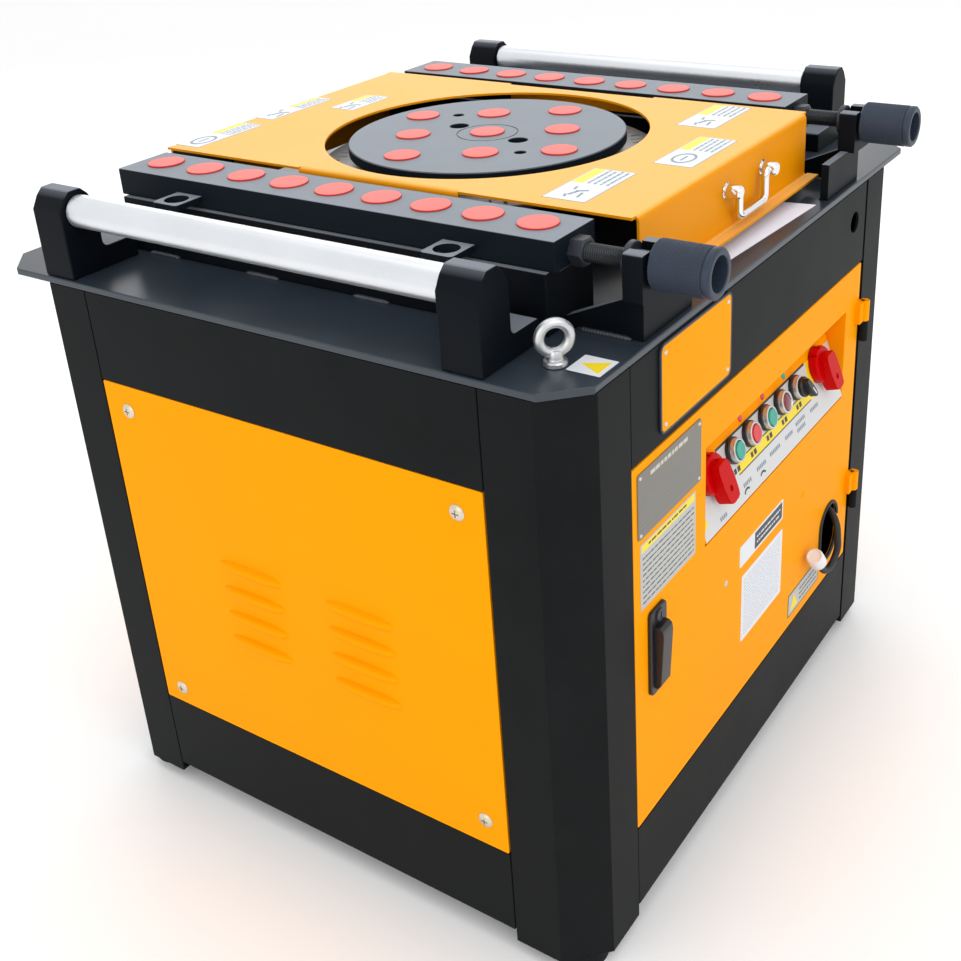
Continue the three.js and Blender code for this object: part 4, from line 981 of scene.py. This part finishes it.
ETCHED_LIGHT = finish_of("plate_light", "zinc_plate", (0.55, 0.53, 0.47), 0.4, metallic=0.3, vary=0.08)
PALE_GREY = finish_of("label_grey_sheet", "white_plastic", (0.46, 0.47, 0.45), 0.5, vary=0.05)
INK_PALE = finish_of("label_pale_ink", "white_plastic", (0.50, 0.52, 0.60), 0.6, vary=0.08)
door()
post_hinge("hinge_upper", HINGE_Z[0])
post_hinge("hinge_lower", HINGE_Z[1])
latch()
door_labels()


# ---- controls, on the plate that leans back in the door's window ----
LEAN = Matrix(((1, 0, 0, 0), (0, 0.3004, -0.9538, -384), (0, 0.9538, 0.3004, -304), (0, 0, 0, 1)))
BUTTON_UP, HANDLE_UP = 68, 69      # heights of the two rows' axes on the plate
BUTTON_X, LAMP_X, SELECTOR_X, HANDLE_X = (-56, -8.5, 39), 86.5, 134, (-121, 211)


def leaned(shape):
    return moved(shape, LEAN)


def on_plate(name, shape, body, material, bevel=0.0, **more):
    piece(name, leaned(shape), body, material, bevel, **more)


def round_on_plate(name, x, profile, body, material, up=BUTTON_UP, steps=56, closed=False, **more):
    on_plate(name, turned(profile, (x, up, 0), steps=steps, closed=closed), body, material, **more)


def well(x, up, r, low, high, steps=32):
    """Round cut down into the plate."""
    return leaned(turned([(0, low), (r, low), (r, high), (0, high)], (x, up, 0), steps=steps))


def control_sheet():
    body = "door_body"
    holes = [well(x, HANDLE_UP, 7, -2, 6) for x in HANDLE_X]
    wells = [well(x, BUTTON_UP, 11.4, -2, 6) for x in BUTTON_X]
    on_plate("control_sheet", prism(rounded(-164.4, 262.4, 0.9, 130.1, 0.8), 0, 3), body, YELLOW, 0.4,
             cuts=holes + wells, stands_for=("control_plate",))
    print_cuts = [well(x, HANDLE_UP, 24.6, 2, 4, 48) for x in HANDLE_X]
    on_plate("control_print", prism([(-163, 1.6), (261, 1.6), (261, 84), (-163, 84)], 2.9, 3.08), body, PANEL,
             cuts=print_cuts + wells)
    top = 3.05
    rails = together(block(-92, 176, 82.5, 85.5, top, 3.3), block(-54, 170, 49.4, 50.8, top, 3.3),
                     block(-54, 170, 34, 35.6, top, 3.3))
    on_plate("control_rules", rails, body, INK)
    on_plate("control_strip", block(-54, 170, 35.6, 49.4, top, 3.22), body, INK_YELLOW)
    bits = []
    for x in (*BUTTON_X, LAMP_X, SELECTOR_X):
        bits += [block(x - 8, x - 2, 39, 45.5, 3.2, 3.34), block(x + 1, x + 8, 39, 45.5, 3.2, 3.34)]
    on_plate("control_strip_marks", together(*bits), body, INK)
    words = []
    for x0, x1, low in ((-52, -30, 16), (-12, 14, 18), (28, 60, 19), (76, 100, 19), (112, 142, 22),
                        (112, 138, 13), (160, 186, 20), (-122, -104, 7)):
        x = x0
        while x < x1:
            words.append(block(x, min(x + 3.2, x1), low, low + 5, 3.0, 3.2))
            x += 4.6
    on_plate("control_words", together(*words), body, INK_GREY)
    arrows = []
    for x, a in ((-46, 50), (0, 40)):
        bow = arc(0, 0, 11, a, a + 95, 10) + arc(0, 0, 8.4, a + 95, a, 10)
        arrows.append(moved(prism(bow, 3.0, 3.24), Matrix.Translation((x, 3, 0))))
    on_plate("control_arrows", together(*arrows), body, INK)
    tips = [prism(outline, 3.0, 3.24) for outline in
            ([(-163, 12), (-148, 20), (-163, 40)], [(170, 34), (184, 34), (205, 84), (180, 84)])]
    on_plate("control_tips", together(*tips), body, INK_YELLOW)
    for name, x, material in (("a", -18, CAP_RED), ("b", 48, CAP_RED), ("c", 114, GREEN)):
        round_on_plate(f"control_dot_{name}", x, [(0, 3), (4.6, 3), (4.6, 3.5), (3.6, 4.4), (0, 4.7)], body,
                       material, up=93, steps=28, slot="red_plastic")


def switch_rings(name, x, bezel):
    """The moulded collar and the metal ring round a switch."""
    collar = [(11.8, 3), (16.6, 3), (16.6, 8), (15.4, 9), (11.8, 9)]
    round_on_plate(f"{name}_collar", x, collar, "door_body", MOULDED, closed=True)
    round_on_plate(f"{name}_bezel", x, bezel, "door_body", BEZEL, closed=True)


def push_button(name, x, material, body, node, domed=False):
    switch_rings(name, x, [(11.6, 6.4), (15.0, 6.4), (15.0, 13), (14.6, 14.4), (13.8, 15), (12.4, 15),
                           (11.6, 14.2)])
    cap = [(0, 4), (10.9, 4), (10.9, 15.5), (10.5, 16.2), (9.7, 16.5), (6, 16.3), (0, 16.2)]
    if domed:
        cap = [(0, 4), (10.9, 4), (10.9, 13.6), (10.4, 14.9), (8.6, 15.8), (6, 16.2), (3, 16.4), (0, 16.5)]
    round_on_plate(f"{name}_cap", x, cap, body, material, stands_for=(node,), sharp=50)


def selector():
    body = "selector_body"
    switch_rings("selector", SELECTOR_X,
                 [(11.6, 6.4), (15.0, 6.4), (15.0, 11.6), (14.2, 14), (12.8, 15), (11.6, 14.4)])
    spin = LEAN @ Matrix.Translation((SELECTOR_X, BUTTON_UP, 0)) @ Matrix.Rotation(radians(30), 4, "Z")
    base = turned([(0, 4), (11, 4), (11, 15.6), (13.5, 16.2), (13.5, 19), (12, 21), (0, 21)], steps=48)
    lever = prism([(-3, 12.5), (-4.5, 4), (-4.4, -10), (-2.6, -18), (2.6, -18), (4.4, -10), (4.5, 4),
                   (3, 12.5)], 19, 29)
    knob = new_object("selector_knob", moved(base, spin))
    carve(knob, moved(lever, spin), "UNION")
    piece("selector_knob", knob, body, MOULDED, 1.1, 3, stands_for=("selector_switch",))
    piece("selector_mark", moved(block(-0.9, 0.9, -15, -3, 28.9, 29.15), spin), body, PALE, 0)


def rotary_handle(name, x, body):
    spin = LEAN @ Matrix.Translation((x, HANDLE_UP, 0)) @ Matrix.Rotation(radians(6), 4, "Z")
    disc_line = [(0, 3.3), (24.2, 3.3), (25, 4.3), (25, 12.8), (23.6, 15), (21, 16), (0, 16)]
    lever = prism([(-14, -12), (-11.5, -30), (-8, -36.5), (-3, -38), (8, -38), (12.5, -36), (14.2, -30),
                   (15, -12), (13.5, 8), (10, 14), (-10, 14), (-13, 8)], 10, 28)
    knob = new_object(f"rotary_{name}_knob", moved(turned(disc_line, steps=72), spin))
    carve(knob, moved(lever, spin), "UNION")
    notches = [spun(block(-1.6, 1.6, 22.6, 28, 6, 20), a) for a in (-38, 0, 38)]
    notches.append(prism(rounded(-3.2, 3.2, -24, -16, 3, 5), 26, 34))
    piece(f"rotary_{name}_knob", knob, body, RED, 1.8, 3, cuts=[moved(together(*notches), spin)],
          stands_for=(f"rotary_handle_{name}",))
    piece(f"rotary_{name}_stem", moved(turned([(0, -8), (6.5, -8), (6.5, 4), (0, 4)], steps=32), spin), body,
          DARK_STEEL, 0)
    round_on_plate(f"rotary_{name}_seat", x, [(9, 3), (25.5, 3), (25.5, 3.2), (9, 3.2)], "door_body", MOULDED,
                   up=HANDLE_UP, closed=True)


control_sheet()
push_button("button_left", BUTTON_X[0], GREEN, "button_left_body", "button_green_left")
push_button("button_mid", BUTTON_X[1], CAP_RED, "button_mid_body", "button_red")
push_button("button_right", BUTTON_X[2], GREEN, "button_right_body", "button_green_right")
push_button("lamp", LAMP_X, LENS, "door_body", "indicator_lamp", domed=True)
selector()
rotary_handle("left", HANDLE_X[0], "rotary_left_body")
rotary_handle("right", HANDLE_X[1], "rotary_right_body")
